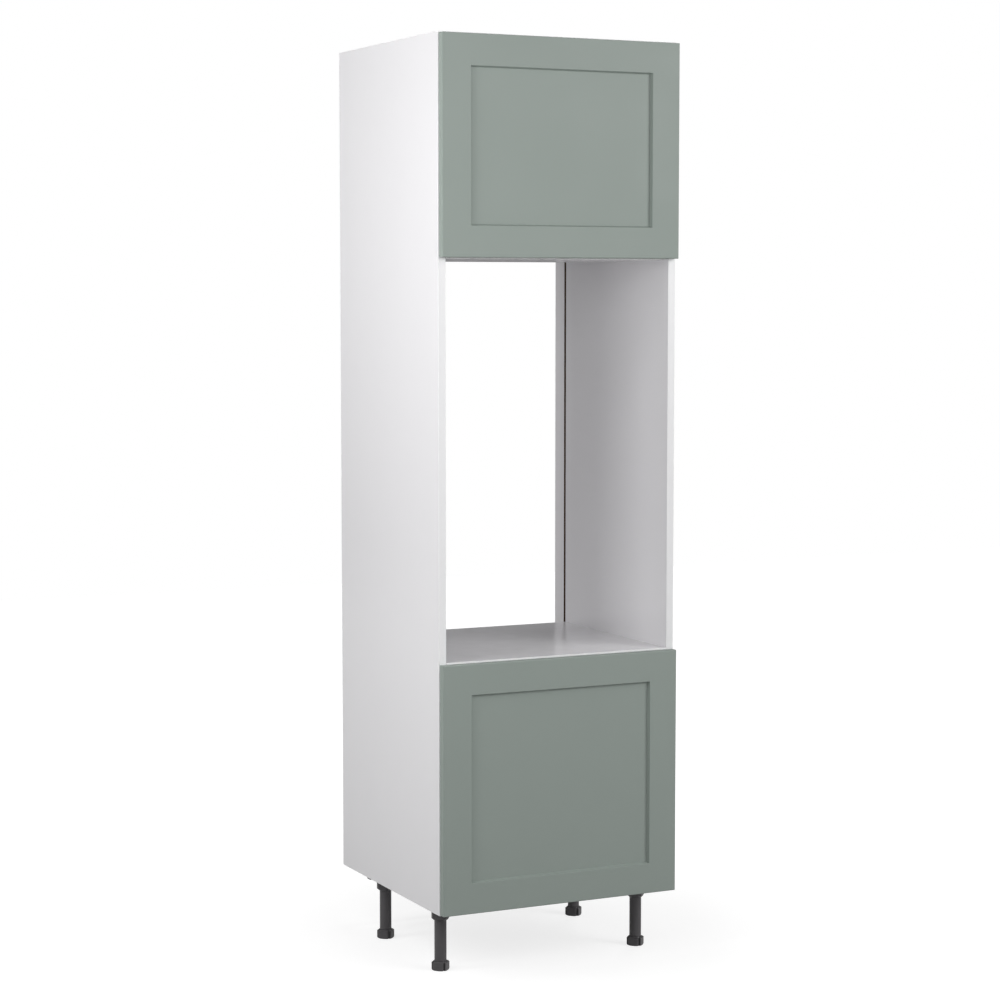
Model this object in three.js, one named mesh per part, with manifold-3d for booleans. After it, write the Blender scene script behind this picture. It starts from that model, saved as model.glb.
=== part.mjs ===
// Tall oven housing unit: a white carcass on adjustable legs, with an open oven
// aperture between two cupboards, each closed by a framed door on cup hinges.
// Millimetres, +Z up, the doors face -Y. The origin is the centre of the footprint,
// on the floor.

import * as THREE from 'three';
import { mergeVertices } from 'three/addons/utils/BufferGeometryUtils.js';
import Module from 'manifold-3d';

const wasm = await Module();
wasm.setup();

// ---------------------------------------------------------------- driving sizes

// Carcass
const carcassWidth = 600;
const carcassDepth = 570;
const carcassHeight = 1970;
const panelThickness = 18;
const apertureHeight = 900;
const lowerCupboardHeight = 538;

// Back panels, in a groove down each side panel
const backThickness = 8;
const grooveDepth = 8;
const grooveClearance = 0.25;
const serviceVoid = 49;

// Rails behind the back panels, for the wall screws
const railHeight = 97;

// Clearances
const fitGap = 0.2;
const runningGap = 0.3;

// Doors
const doorThickness = 18;
const doorGap = 2;
const doorSideReveal = 1.5;
const lowerDoorBottomReveal = 1.5;
const lowerDoorTopReveal = 3.5;
const upperDoorBottomReveal = 3;
const upperDoorTopReveal = 3;
const doorFrameWidth = 70;
const doorRecessDepth = 8;
const doorRecessSlope = 3;
const doorEdgeRadius = 2.5;

// Door bumpers
const bumperDiameter = 9;
const bumperEndInset = 20;

// Loose shelves and their pins
const shelfFrontSetback = 22;
const shelfRearGap = 2;
const shelfSideGap = 1;
const pinDiameter = 5;
const pinHoleDepth = 10;
const pinReach = 8;
const pinCollarDiameter = 7;
const pinCollarThickness = 1.5;
const holePitch = 32;
const holesPerRow = 5;
const frontHoleSetback = 37;
const holeColumnSpacing = 416;

// Cup hinges
const cupDiameter = 35;
const cupDepth = 13;
const cupEdgeDistance = 22.5;
const cupWall = 1.2;
const cupFlangeThickness = 1.2;
const cupFlangeRim = 1.1;
const cupEarLength = 58;
const cupEarWidth = 14;
const cupEarOffset = 9.5;
const cupScrewSpacing = 45;
const cupScrewHole = 4;
const hingeEndDistance = 100;
const hingeSteel = 1.2;
const linkThickness = 9;
const linkWidth = 3.2;
const linkEndRadius = 2.3;
const linkPinRadius = 1.5;
const linkPinFromDoorEdge = 15.5;
const linkPinFromDoorBack = 8;
const linkTailFromPanel = 6.5;
const linkTailFromFront = 18;
const armStandoff = 18;
const armLength = 75;
const armTipPastFront = 10;
const armTipWidth = 12;
const armTipLength = 17;
const armTipChamfer = 2;
const plateLength = 48;
const plateHeight = 16;
const plateThickness = 2;
const plateWingHeight = 50;
const plateWingWidth = 14;
const plateRibLength = 36;
const plateRibSetback = 23;
const plateScrewSpacing = 32;
const plateScrewHole = 5;

// Legs
const legHeight = 150;
const legSideDistance = 45;
const legFrontDistance = 94;
const legRearDistance = 413;
const flangeSize = 62;
const flangeCornerRadius = 8;
const flangeThickness = 4;
const flangeScrewSpacing = 48;
const flangeScrewHole = 4.5;
const lugWidth = 18;
const lugThickness = 3;
const lugSideClearance = 1;
const sleeveLength = 29;
const sleeveTaper = 5;
const sleeveMouthRim = 0.8;
const sleeveRoofThickness = 10;
const padRadius = 21;
const padFlatDistance = 18;
const tubeRadius = 14;
const tubeBoreRadius = 10;
const footHeight = 21.5;
const footShoulderRise = 3;
const footShoulderRadius = 15;
const footChamfer = 4;
const footSlotWidth = 3;
const footSlotDepth = 4;
const footStemLength = 78;

// Roundness of turned pieces
const fineSegments = 32;
const coarseSegments = 12;

// ---------------------------------------------------------------- derived places

const doorFrontY = -(carcassDepth + doorGap + doorThickness) / 2;
const doorBackY = doorFrontY + doorThickness;
const carcassFrontY = doorBackY + doorGap;
const carcassRearY = carcassFrontY + carcassDepth;
const outerX = carcassWidth / 2;
const innerX = outerX - panelThickness;
const innerWidth = 2 * innerX;

const carcassBottomZ = legHeight;
const carcassTopZ = carcassBottomZ + carcassHeight;
const lowerFloorZ = carcassBottomZ + panelThickness;
const lowerCeilingZ = lowerFloorZ + lowerCupboardHeight;
const ovenSeatZ = lowerCeilingZ + panelThickness;
const apertureTopZ = ovenSeatZ + apertureHeight;
const upperFloorZ = apertureTopZ + panelThickness;
const upperCeilingZ = carcassTopZ - panelThickness;

const grooveWidth = backThickness + 2 * grooveClearance;
const grooveRearY = carcassRearY - serviceVoid;
const grooveFrontY = grooveRearY - grooveWidth;
const backFrontY = grooveFrontY + grooveClearance;

const doorWidth = carcassWidth - 2 * doorSideReveal;
const doorEdgeX = doorWidth / 2;
const lowerDoorBottomZ = carcassBottomZ + lowerDoorBottomReveal;
const lowerDoorTopZ = ovenSeatZ - lowerDoorTopReveal;
const upperDoorBottomZ = apertureTopZ + upperDoorBottomReveal;
const upperDoorTopZ = carcassTopZ - upperDoorTopReveal;

const holeRowZs = {
  lower: (lowerFloorZ + lowerCeilingZ) / 2,
  upper: (upperFloorZ + upperCeilingZ) / 2,
};
const holeColumnYs = {
  front: carcassFrontY + frontHoleSetback,
  rear: carcassFrontY + frontHoleSetback + holeColumnSpacing,
};

// ---------------------------------------------------------------- materials

function finish(color, roughness, metalness = 0) {
  return { color, roughness, metalness };
}

const whiteMelamine = finish(0xf0f0f1, 0.42);
const sageGreen = finish(0x96a19b, 0.5);
const legPlastic = finish(0x3c3b3c, 0.55);
const hingeNickel = finish(0xb9bbbd, 0.3, 1);
const clearPlastic = finish(0xe4e6e4, 0.35);

// ---------------------------------------------------------------- shape helpers

// A closed geometry as a solid that can be joined and cut.
function solidOf(geometry) {
  const bare = geometry.clone();
  bare.deleteAttribute('normal');
  bare.deleteAttribute('uv');
  const merged = mergeVertices(bare);
  const corners = merged.index.array;
  const triVerts = [];
  for (let i = 0; i < corners.length; i += 3) {
    const [a, b, c] = [corners[i], corners[i + 1], corners[i + 2]];
    if (a !== b && b !== c && c !== a) triVerts.push(a, b, c);
  }
  return new wasm.Manifold(new wasm.Mesh({
    numProp: 3,
    vertProperties: merged.attributes.position.array,
    triVerts: new Uint32Array(triVerts),
  }));
}

function geometryOf(solid) {
  const { vertProperties, triVerts } = solid.getMesh();
  const geometry = new THREE.BufferGeometry();
  geometry.setAttribute('position', new THREE.BufferAttribute(vertProperties, 3));
  geometry.setIndex(new THREE.BufferAttribute(triVerts, 1));
  geometry.computeVertexNormals();
  return geometry;
}

// A box between two corners.
function boxBetween(low, high) {
  const [width, depth, height] = high.map((value, axis) => value - low[axis]);
  const geometry = new THREE.BoxGeometry(width, depth, height);
  return geometry.translate(low[0] + width / 2, low[1] + depth / 2, low[2] + height / 2);
}

// Cylinders that start at a point and run along +X, -Y or +Z.
function rodAlongX(radius, length, segments, [x, y, z]) {
  const geometry = new THREE.CylinderGeometry(radius, radius, length, segments);
  return geometry.rotateZ(Math.PI / 2).translate(x + length / 2, y, z);
}

function rodForward(radius, length, segments, [x, y, z]) {
  const geometry = new THREE.CylinderGeometry(radius, radius, length, segments);
  return geometry.translate(x, y - length / 2, z);
}

function rodUp(radius, length, segments, [x, y, z]) {
  const geometry = new THREE.CylinderGeometry(radius, radius, length, segments);
  return geometry.rotateX(Math.PI / 2).translate(x, y, z + length / 2);
}

// An outline in X and Y, extruded up from a height.
function prismUp(shape, bottom, top) {
  const settings = { depth: top - bottom, bevelEnabled: false, curveSegments: 4 };
  return new THREE.ExtrudeGeometry(shape, settings).translate(0, 0, bottom);
}

// A turned piece about the Z axis, from points of radius and height.
function turnedUp(points) {
  const profile = points.map(([radius, height]) => new THREE.Vector2(radius, height));
  return new THREE.LatheGeometry(profile, fineSegments).rotateX(Math.PI / 2);
}

function polygon(points) {
  return new THREE.Shape(points.map(([x, y]) => new THREE.Vector2(x, y)));
}

function rectangle(halfWidth, bottom, top) {
  return polygon([[-halfWidth, bottom], [halfWidth, bottom], [halfWidth, top], [-halfWidth, top]]);
}

// A rectangle about a centre, with round corners.
function roundedRectangle(width, height, radius, centreX = 0, centreY = 0) {
  const shape = new THREE.Shape();
  const x = centreX - width / 2;
  const y = centreY - height / 2;
  shape.moveTo(x + radius, y);
  shape.lineTo(x + width - radius, y);
  shape.absarc(x + width - radius, y + radius, radius, -Math.PI / 2, 0);
  shape.lineTo(x + width, y + height - radius);
  shape.absarc(x + width - radius, y + height - radius, radius, 0, Math.PI / 2);
  shape.lineTo(x + radius, y + height);
  shape.absarc(x + radius, y + height - radius, radius, Math.PI / 2, Math.PI);
  shape.lineTo(x, y + radius);
  shape.absarc(x + radius, y + radius, radius, Math.PI, 1.5 * Math.PI);
  return shape;
}

function joined(geometries) {
  return geometries.map(solidOf).reduce((whole, piece) => whole.add(piece));
}

function cutBy(solid, geometries) {
  return geometries.map(solidOf).reduce((rest, tool) => rest.subtract(tool), solid);
}

function piece(name, geometry, { color, roughness, metalness }) {
  const material = new THREE.MeshStandardMaterial({ color, roughness, metalness });
  const mesh = new THREE.Mesh(geometry, material);
  mesh.name = name;
  return mesh;
}

// ---------------------------------------------------------------- carcass

// The shelf pin holes of one side panel, in two columns of each cupboard.
function pinHoles(side) {
  const radius = pinDiameter / 2 + fitGap;
  const startX = side > 0 ? innerX : -innerX - pinHoleDepth;
  const holes = [];
  for (const rowZ of Object.values(holeRowZs)) {
    for (const columnY of Object.values(holeColumnYs)) {
      for (let step = 0; step < holesPerRow; step += 1) {
        const z = rowZ + (step - (holesPerRow - 1) / 2) * holePitch;
        holes.push(rodAlongX(radius, pinHoleDepth, coarseSegments, [startX, columnY, z]));
      }
    }
  }
  return holes;
}

function sidePanel(name, side) {
  const [nearX, farX] = side > 0 ? [innerX, outerX] : [-outerX, -innerX];
  const board = boxBetween([nearX, carcassFrontY, carcassBottomZ], [farX, carcassRearY, carcassTopZ]);
  const grooveX = side > 0 ? innerX : -innerX - grooveDepth;
  const groove = boxBetween(
    [grooveX, grooveFrontY, carcassBottomZ],
    [grooveX + grooveDepth, grooveRearY, carcassTopZ],
  );
  return piece(name, geometryOf(cutBy(solidOf(board), [groove, ...pinHoles(side)])), whiteMelamine);
}

// A board between the side panels, from their front edges to the back panel.
function fixedBoard(name, bottomZ) {
  const halfWidth = innerX - fitGap;
  const board = boxBetween(
    [-halfWidth, carcassFrontY, bottomZ],
    [halfWidth, grooveFrontY, bottomZ + panelThickness],
  );
  return piece(name, board, whiteMelamine);
}

// A back panel runs in the grooves and stops half way up the fixed shelf's edge.
function backPanel(name, bottomZ, topZ) {
  const halfWidth = innerX + grooveDepth - grooveClearance;
  const board = boxBetween(
    [-halfWidth, backFrontY, bottomZ],
    [halfWidth, backFrontY + backThickness, topZ],
  );
  return piece(name, board, whiteMelamine);
}

function wallRail(name, bottomZ) {
  const halfWidth = innerX - fitGap;
  const board = boxBetween(
    [-halfWidth, carcassRearY - panelThickness, bottomZ],
    [halfWidth, carcassRearY, bottomZ + railHeight],
  );
  return piece(name, board, whiteMelamine);
}

function carcass() {
  const group = new THREE.Group();
  group.add(
    sidePanel('side_panel_left', -1),
    sidePanel('side_panel_right', 1),
    fixedBoard('base_panel', carcassBottomZ),
    fixedBoard('oven_shelf', lowerCeilingZ),
    fixedBoard('middle_shelf', apertureTopZ),
    fixedBoard('top_panel', upperCeilingZ),
    backPanel('lower_back_panel', carcassBottomZ, lowerCeilingZ + panelThickness / 2),
    backPanel('upper_back_panel', apertureTopZ + panelThickness / 2, carcassTopZ),
    wallRail('lower_wall_rail', carcassBottomZ),
    wallRail('upper_wall_rail', carcassTopZ - railHeight),
  );
  return group;
}

// ---------------------------------------------------------------- loose shelves

// A pin with a collar against the side panel, drawn for the right-hand side.
function shelfPin(name, side, y, z) {
  const insertion = pinHoleDepth - fitGap;
  const shank = rodAlongX(pinDiameter / 2, insertion + pinReach, coarseSegments, [-pinReach, 0, 0]);
  const collarX = -pinCollarThickness - fitGap;
  const collar = rodAlongX(pinCollarDiameter / 2, pinCollarThickness, coarseSegments, [collarX, 0, 0]);
  const mesh = piece(name, geometryOf(joined([shank, collar])), hingeNickel);
  mesh.rotation.z = side > 0 ? 0 : Math.PI;
  mesh.position.set(side * innerX, y, z);
  return mesh;
}

function looseShelf(level) {
  const group = new THREE.Group();
  const pinZ = holeRowZs[level];
  const bottomZ = pinZ + pinCollarDiameter / 2 + fitGap;
  const halfWidth = innerX - shelfSideGap;
  const board = boxBetween(
    [-halfWidth, carcassFrontY + shelfFrontSetback, bottomZ],
    [halfWidth, backFrontY - shelfRearGap, bottomZ + panelThickness],
  );
  group.add(piece(`${level}_loose_shelf`, board, whiteMelamine));
  for (const [sideName, side] of [['left', -1], ['right', 1]]) {
    for (const [columnName, columnY] of Object.entries(holeColumnYs)) {
      group.add(shelfPin(`${level}_shelf_pin_${columnName}_${sideName}`, side, columnY, pinZ));
    }
  }
  return group;
}

// ---------------------------------------------------------------- doors

// A door board from its back face (y = 0) forwards, its bottom edge at z = 0.
// The sides of its sunk centre lean inwards down to the panel.
function doorGeometry(height, hingeHeights) {
  const slab = new THREE.ExtrudeGeometry(rectangle(doorWidth / 2, 0, height), {
    depth: doorThickness - doorEdgeRadius,
    bevelSize: doorEdgeRadius,
    bevelOffset: -doorEdgeRadius,
    bevelThickness: doorEdgeRadius,
    bevelSegments: 3,
  });
  const behind = boxBetween(
    [-doorWidth, -height, -doorThickness],
    [doorWidth, 2 * height, 0],
  );
  const panelInset = doorFrameWidth + doorRecessSlope;
  const panelOutline = rectangle(doorWidth / 2 - panelInset, panelInset, height - panelInset);
  const recess = new THREE.ExtrudeGeometry(panelOutline, {
    depth: doorThickness,
    bevelSize: doorRecessSlope,
    bevelThickness: doorRecessDepth,
    bevelSegments: 1,
  }).translate(0, 0, doorThickness);
  const board = cutBy(solidOf(slab), [behind, recess]);
  const upright = geometryOf(board).rotateX(Math.PI / 2);
  const boreRadius = cupDiameter / 2 + fitGap;
  const bores = hingeHeights.map((z) => {
    const start = [doorEdgeX - cupEdgeDistance, doorThickness, z];
    return rodForward(boreRadius, doorThickness + cupDepth + fitGap, fineSegments, start);
  });
  return geometryOf(cutBy(solidOf(upright), bores));
}

function bumper(name, z) {
  const height = doorGap - fitGap - runningGap;
  const edgeCentreX = -outerX + panelThickness / 2;
  const start = [edgeCentreX, doorBackY + fitGap + height, z];
  return piece(name, rodForward(bumperDiameter / 2, height, fineSegments, start), clearPlastic);
}

function door(name, bottomZ, topZ) {
  const group = new THREE.Group();
  const height = topZ - bottomZ;
  const hingeHeights = [hingeEndDistance, height - hingeEndDistance];
  const board = piece(name, doorGeometry(height, hingeHeights), sageGreen);
  board.position.set(0, doorBackY, bottomZ);
  group.add(board);
  group.add(bumper(`${name}_bumper_bottom`, bottomZ + bumperEndInset));
  group.add(bumper(`${name}_bumper_top`, topZ - bumperEndInset));
  group.add(hinge(name, 'bottom', bottomZ + hingeHeights[0]));
  group.add(hinge(name, 'top', bottomZ + hingeHeights[1]));
  return group;
}

// ---------------------------------------------------------------- cup hinges

const cupX = doorEdgeX - cupEdgeDistance;
const cupRadius = cupDiameter / 2;
const cupBoreRadius = cupRadius - cupWall;
const linkPinX = doorEdgeX - linkPinFromDoorEdge;
const linkPinY = doorBackY - linkPinFromDoorBack;
const armWebX = innerX - armStandoff;
const armTipY = carcassFrontY - armTipPastFront;
const armInnerHalf = linkThickness / 2 + runningGap;
const armOuterHalf = armInnerHalf + hingeSteel;
const plateFaceX = innerX - fitGap - plateThickness;

// The cup sits in the door, its flange on the door's back face.
function hingeCup() {
  const flangeY = doorBackY + fitGap;
  const flangeOuterY = flangeY + cupFlangeThickness;
  const flange = rodForward(cupRadius + cupFlangeRim, cupFlangeThickness, fineSegments,
    [cupX, flangeOuterY, 0]);
  const earShape = roundedRectangle(cupEarWidth, cupEarLength, cupEarWidth / 2, cupX - cupEarOffset);
  const ears = prismUp(earShape, 0, cupFlangeThickness).rotateX(Math.PI / 2)
    .translate(0, flangeOuterY, 0);
  const body = rodForward(cupRadius, cupDepth + fitGap + cupFlangeThickness, fineSegments,
    [cupX, flangeOuterY, 0]);
  const hollowLength = cupDepth + fitGap + cupFlangeThickness - cupWall;
  const hollow = rodForward(cupBoreRadius, hollowLength + cupWall, fineSegments,
    [cupX, flangeOuterY + cupWall, 0]);
  const screwHoles = [-cupScrewSpacing / 2, cupScrewSpacing / 2].map((z) => rodForward(
    cupScrewHole / 2,
    3 * cupFlangeThickness,
    coarseSegments,
    [cupX - cupEarOffset, flangeOuterY + cupFlangeThickness, z],
  ));
  return geometryOf(cutBy(joined([flange, ears, body]), [hollow, ...screwHoles]));
}

// A bar of even width between two points, for the bent link.
function bar([startX, startY], [endX, endY], halfHeight) {
  const along = new THREE.Vector2(endX - startX, endY - startY).normalize();
  const sideX = -along.y * linkWidth / 2;
  const sideY = along.x * linkWidth / 2;
  return prismUp(polygon([
    [startX + sideX, startY + sideY],
    [endX + sideX, endY + sideY],
    [endX - sideX, endY - sideY],
    [startX - sideX, startY - sideY],
  ]), -halfHeight, halfHeight);
}

// The bent link turns on its pin in the cup and slides in the arm's open channel.
function hingeLink() {
  const halfHeight = linkThickness / 2;
  const pin = [linkPinX, linkPinY];
  const tail = [innerX - linkTailFromPanel, carcassFrontY + linkTailFromFront];
  const path = [
    pin,
    [pin[0] - 4.4, pin[1] + 3.6],
    [pin[0] - 10.8, pin[1] + 7.4],
    [pin[0] - 11.4, pin[1] + 13],
    tail,
  ];
  const parts = [];
  for (let i = 1; i < path.length; i += 1) {
    parts.push(bar(path[i - 1], path[i], halfHeight));
    parts.push(rodUp(linkWidth / 2, linkThickness, coarseSegments, [...path[i], -halfHeight]));
  }
  for (const [x, y] of [pin, tail]) {
    parts.push(rodUp(linkEndRadius, linkThickness, coarseSegments, [x, y, -halfHeight]));
  }
  const pinOffset = Math.abs(linkPinX - cupX) + linkPinRadius;
  const pinHalf = Math.sqrt(cupBoreRadius ** 2 - pinOffset ** 2) - 2 * runningGap;
  parts.push(rodUp(linkPinRadius, 2 * pinHalf, coarseSegments, [linkPinX, linkPinY, -pinHalf]));
  return geometryOf(joined(parts));
}

// The arm is a folded channel, open towards the side panel.
function hingeArm() {
  const cheekX = plateFaceX - runningGap;
  const tipX = armWebX + armTipWidth;
  const rearY = armTipY + armLength;
  const outline = polygon([
    [armWebX, armTipY],
    [tipX - armTipChamfer, armTipY],
    [tipX, armTipY + armTipChamfer],
    [tipX, armTipY + armTipLength],
    [cheekX, armTipY + armTipLength + (cheekX - tipX)],
    [cheekX, rearY],
    [armWebX, rearY],
  ]);
  const channel = boxBetween(
    [armWebX + hingeSteel, armTipY - armLength, -armInnerHalf],
    [outerX, rearY + armLength, armInnerHalf],
  );
  const bent = solidOf(prismUp(outline, -armOuterHalf, armOuterHalf));
  return geometryOf(cutBy(bent, [channel]));
}

// The mounting plate is screwed to the side panel, and its rib holds the arm.
function hingePlate() {
  const centreY = carcassFrontY + frontHoleSetback;
  const panelSideX = innerX - fitGap;
  const base = boxBetween(
    [plateFaceX, centreY - plateLength / 2, -plateHeight / 2],
    [panelSideX, centreY + plateLength / 2, plateHeight / 2],
  );
  const wings = boxBetween(
    [plateFaceX, centreY - plateWingWidth / 2, -plateWingHeight / 2],
    [panelSideX, centreY + plateWingWidth / 2, plateWingHeight / 2],
  );
  const ribTopX = armWebX + hingeSteel + runningGap;
  const ribHalf = armInnerHalf - runningGap;
  const ribFrontY = carcassFrontY + plateRibSetback;
  const rib = boxBetween(
    [ribTopX, ribFrontY, -ribHalf],
    [panelSideX, ribFrontY + plateRibLength, ribHalf],
  );
  const screwHoles = [-plateScrewSpacing / 2, plateScrewSpacing / 2].map((z) => rodAlongX(
    plateScrewHole / 2,
    3 * plateThickness,
    coarseSegments,
    [plateFaceX - plateThickness, centreY, z],
  ));
  return geometryOf(cutBy(joined([base, wings, rib]), screwHoles));
}

function hinge(doorName, end, z) {
  const group = new THREE.Group();
  group.position.z = z;
  group.add(
    piece(`${doorName}_hinge_cup_${end}`, hingeCup(), hingeNickel),
    piece(`${doorName}_hinge_link_${end}`, hingeLink(), hingeNickel),
    piece(`${doorName}_hinge_arm_${end}`, hingeArm(), hingeNickel),
    piece(`${doorName}_hinge_plate_${end}`, hingePlate(), hingeNickel),
  );
  return group;
}

// ---------------------------------------------------------------- legs

// A round outline with four flats that face the diagonals.
function padOutline() {
  const halfArc = Math.PI / 4 - Math.acos(padFlatDistance / padRadius);
  const shape = new THREE.Shape();
  for (let corner = 0; corner < 4; corner += 1) {
    const middle = corner * Math.PI / 2;
    shape.absarc(0, 0, padRadius, middle - halfArc, middle + halfArc);
  }
  return shape;
}

// The socket: a flange under the base panel and a sleeve that takes the tube.
function legSocket(name, side, isRear) {
  const flangeTop = legHeight - fitGap;
  const sleeveBottom = legHeight - sleeveLength;
  const mouthZ = sleeveBottom - sleeveTaper;
  const boreRadius = tubeRadius + runningGap;
  const flange = prismUp(
    roundedRectangle(flangeSize, flangeSize, flangeCornerRadius),
    flangeTop - flangeThickness,
    flangeTop,
  );
  const turned = turnedUp([
    [0, mouthZ],
    [boreRadius + sleeveMouthRim, mouthZ],
    [padRadius, sleeveBottom],
    [padRadius, flangeTop],
    [0, flangeTop],
  ]);
  const sleeve = solidOf(turned).intersect(solidOf(prismUp(padOutline(), mouthZ, flangeTop)));
  const parts = [flange, geometryOf(sleeve)];
  if (isRear) {
    const lugEnd = legSideDistance - lugSideClearance;
    const lugX = side > 0 ? 0 : -lugEnd;
    parts.push(boxBetween(
      [lugX, -lugWidth / 2, flangeTop - lugThickness],
      [lugX + lugEnd, lugWidth / 2, flangeTop],
    ));
  }
  const boreTop = legHeight - sleeveRoofThickness;
  const bore = rodUp(boreRadius, 2 * (boreTop - mouthZ), fineSegments, [0, 0, 2 * mouthZ - boreTop]);
  const holes = [];
  for (const x of [-flangeScrewSpacing / 2, flangeScrewSpacing / 2]) {
    for (const y of [-flangeScrewSpacing / 2, flangeScrewSpacing / 2]) {
      const start = [x, y, flangeTop - 2 * flangeThickness];
      holes.push(rodUp(flangeScrewHole / 2, 3 * flangeThickness, coarseSegments, start));
    }
  }
  return piece(name, geometryOf(cutBy(joined(parts), [bore, ...holes])), legPlastic);
}

function legTube(name) {
  const bottom = footHeight + runningGap;
  const top = legHeight - sleeveRoofThickness - runningGap;
  const tube = turnedUp([
    [tubeBoreRadius, bottom],
    [tubeRadius, bottom],
    [tubeRadius, top],
    [tubeBoreRadius, top],
    [tubeBoreRadius, bottom],
  ]);
  return piece(name, geometryOf(solidOf(tube)), legPlastic);
}

// The foot: a notched pad, and a stem that screws into the tube.
function legFoot(name) {
  const shoulderZ = footHeight - footShoulderRise;
  const turned = turnedUp([
    [0, 0],
    [padRadius - footChamfer, 0],
    [padRadius, footChamfer],
    [padRadius, shoulderZ],
    [footShoulderRadius, footHeight],
    [0, footHeight],
  ]);
  const pad = solidOf(turned).intersect(solidOf(prismUp(padOutline(), 0, footHeight)));
  const stem = rodUp(tubeBoreRadius - runningGap, footStemLength + footShoulderRise, fineSegments,
    [0, 0, shoulderZ]);
  const slots = [];
  for (let quarter = 0; quarter < 4; quarter += 1) {
    const slot = boxBetween(
      [padRadius - footSlotDepth, -footSlotWidth / 2, -footHeight],
      [2 * padRadius, footSlotWidth / 2, 2 * footHeight],
    );
    slots.push(slot.rotateZ(quarter * Math.PI / 2));
  }
  return piece(name, geometryOf(cutBy(pad.add(solidOf(stem)), slots)), legPlastic);
}

function leg(place, side, frontDistance, isRear) {
  const group = new THREE.Group();
  group.position.set(side * (outerX - legSideDistance), carcassFrontY + frontDistance, 0);
  group.add(
    legSocket(`leg_socket_${place}`, side, isRear),
    legTube(`leg_tube_${place}`),
    legFoot(`leg_foot_${place}`),
  );
  return group;
}

// ---------------------------------------------------------------- assembly

const ovenHousing = new THREE.Group();
ovenHousing.add(
  carcass(),
  looseShelf('lower'),
  looseShelf('upper'),
  door('lower_door', lowerDoorBottomZ, lowerDoorTopZ),
  door('upper_door', upperDoorBottomZ, upperDoorTopZ),
  leg('front_left', -1, legFrontDistance, false),
  leg('front_right', 1, legFrontDistance, false),
  leg('rear_left', -1, legRearDistance, true),
  leg('rear_right', 1, legRearDistance, true),
);

export default ovenHousing;
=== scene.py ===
"""A tall oven housing unit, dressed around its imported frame.

Melamine-faced boards with banded front edges, foil-wrapped framed doors, cup hinges,
shelf pins, cam locks and adjustable legs, in a plain pale studio. Metres throughout.
"""

import cmath
import math

import bmesh
import bpy
from bpy.props import FloatProperty, FloatVectorProperty, IntProperty, PointerProperty
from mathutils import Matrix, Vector


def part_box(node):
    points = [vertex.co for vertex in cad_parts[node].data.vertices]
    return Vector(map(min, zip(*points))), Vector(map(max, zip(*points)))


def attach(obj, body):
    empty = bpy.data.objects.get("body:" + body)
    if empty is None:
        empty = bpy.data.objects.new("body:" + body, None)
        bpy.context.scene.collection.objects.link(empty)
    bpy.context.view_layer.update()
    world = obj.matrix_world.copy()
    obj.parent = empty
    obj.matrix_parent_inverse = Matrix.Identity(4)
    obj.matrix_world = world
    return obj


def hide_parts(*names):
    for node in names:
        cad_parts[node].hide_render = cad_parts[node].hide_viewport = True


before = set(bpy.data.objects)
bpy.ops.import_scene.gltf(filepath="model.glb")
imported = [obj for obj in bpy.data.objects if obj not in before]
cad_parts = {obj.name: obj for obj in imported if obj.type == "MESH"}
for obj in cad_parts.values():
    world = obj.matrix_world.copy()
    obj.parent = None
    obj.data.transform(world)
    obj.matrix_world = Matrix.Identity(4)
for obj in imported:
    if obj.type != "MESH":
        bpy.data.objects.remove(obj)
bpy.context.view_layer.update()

bl_info = {
    "name": "Tall oven housing unit",
    "version": (1, 0, 0),
    "blender": (4, 5, 0),
    "location": "3D View > Sidebar > Oven housing",
    "description": "Builds the boards, doors, fittings and legs of a tall oven housing unit",
    "category": "Object",
}

MM = 0.001
SIDES = {"left": -1, "right": 1}
LEVELS = ("lower", "upper")
ENDS = ("bottom", "top")
LEG_PLACES = ("front_left", "front_right", "rear_left", "rear_right")
# Faces marked with this attribute are painted lighter by some finishes: a painted highlight along
# the rounded edges, and wear.
EDGE_WEAR_AND_HIGHLIGHT = "edge_wear"


# ------------------------------------------------------------------ settings


def linear(written):
    """The linear colour of an sRGB colour written as #rrggbb."""
    channels = [int(written[at:at + 2], 16) / 255 for at in (1, 3, 5)]
    return [c / 12.92 if c <= 0.04045 else ((c + 0.055) / 1.055) ** 2.4 for c in channels]


def size(name, description, millimetres):
    """A length that a user may change, with its default in millimetres."""
    return FloatProperty(
        name=name, description=description, default=millimetres * MM, min=0.0, unit="LENGTH"
    )


def colour(name, description, written):
    """A colour that a user may change, with its default as an sRGB hex value."""
    return FloatVectorProperty(
        name=name, description=description, default=linear(written), size=3, min=0, max=1,
        subtype="COLOR",
    )


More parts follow.
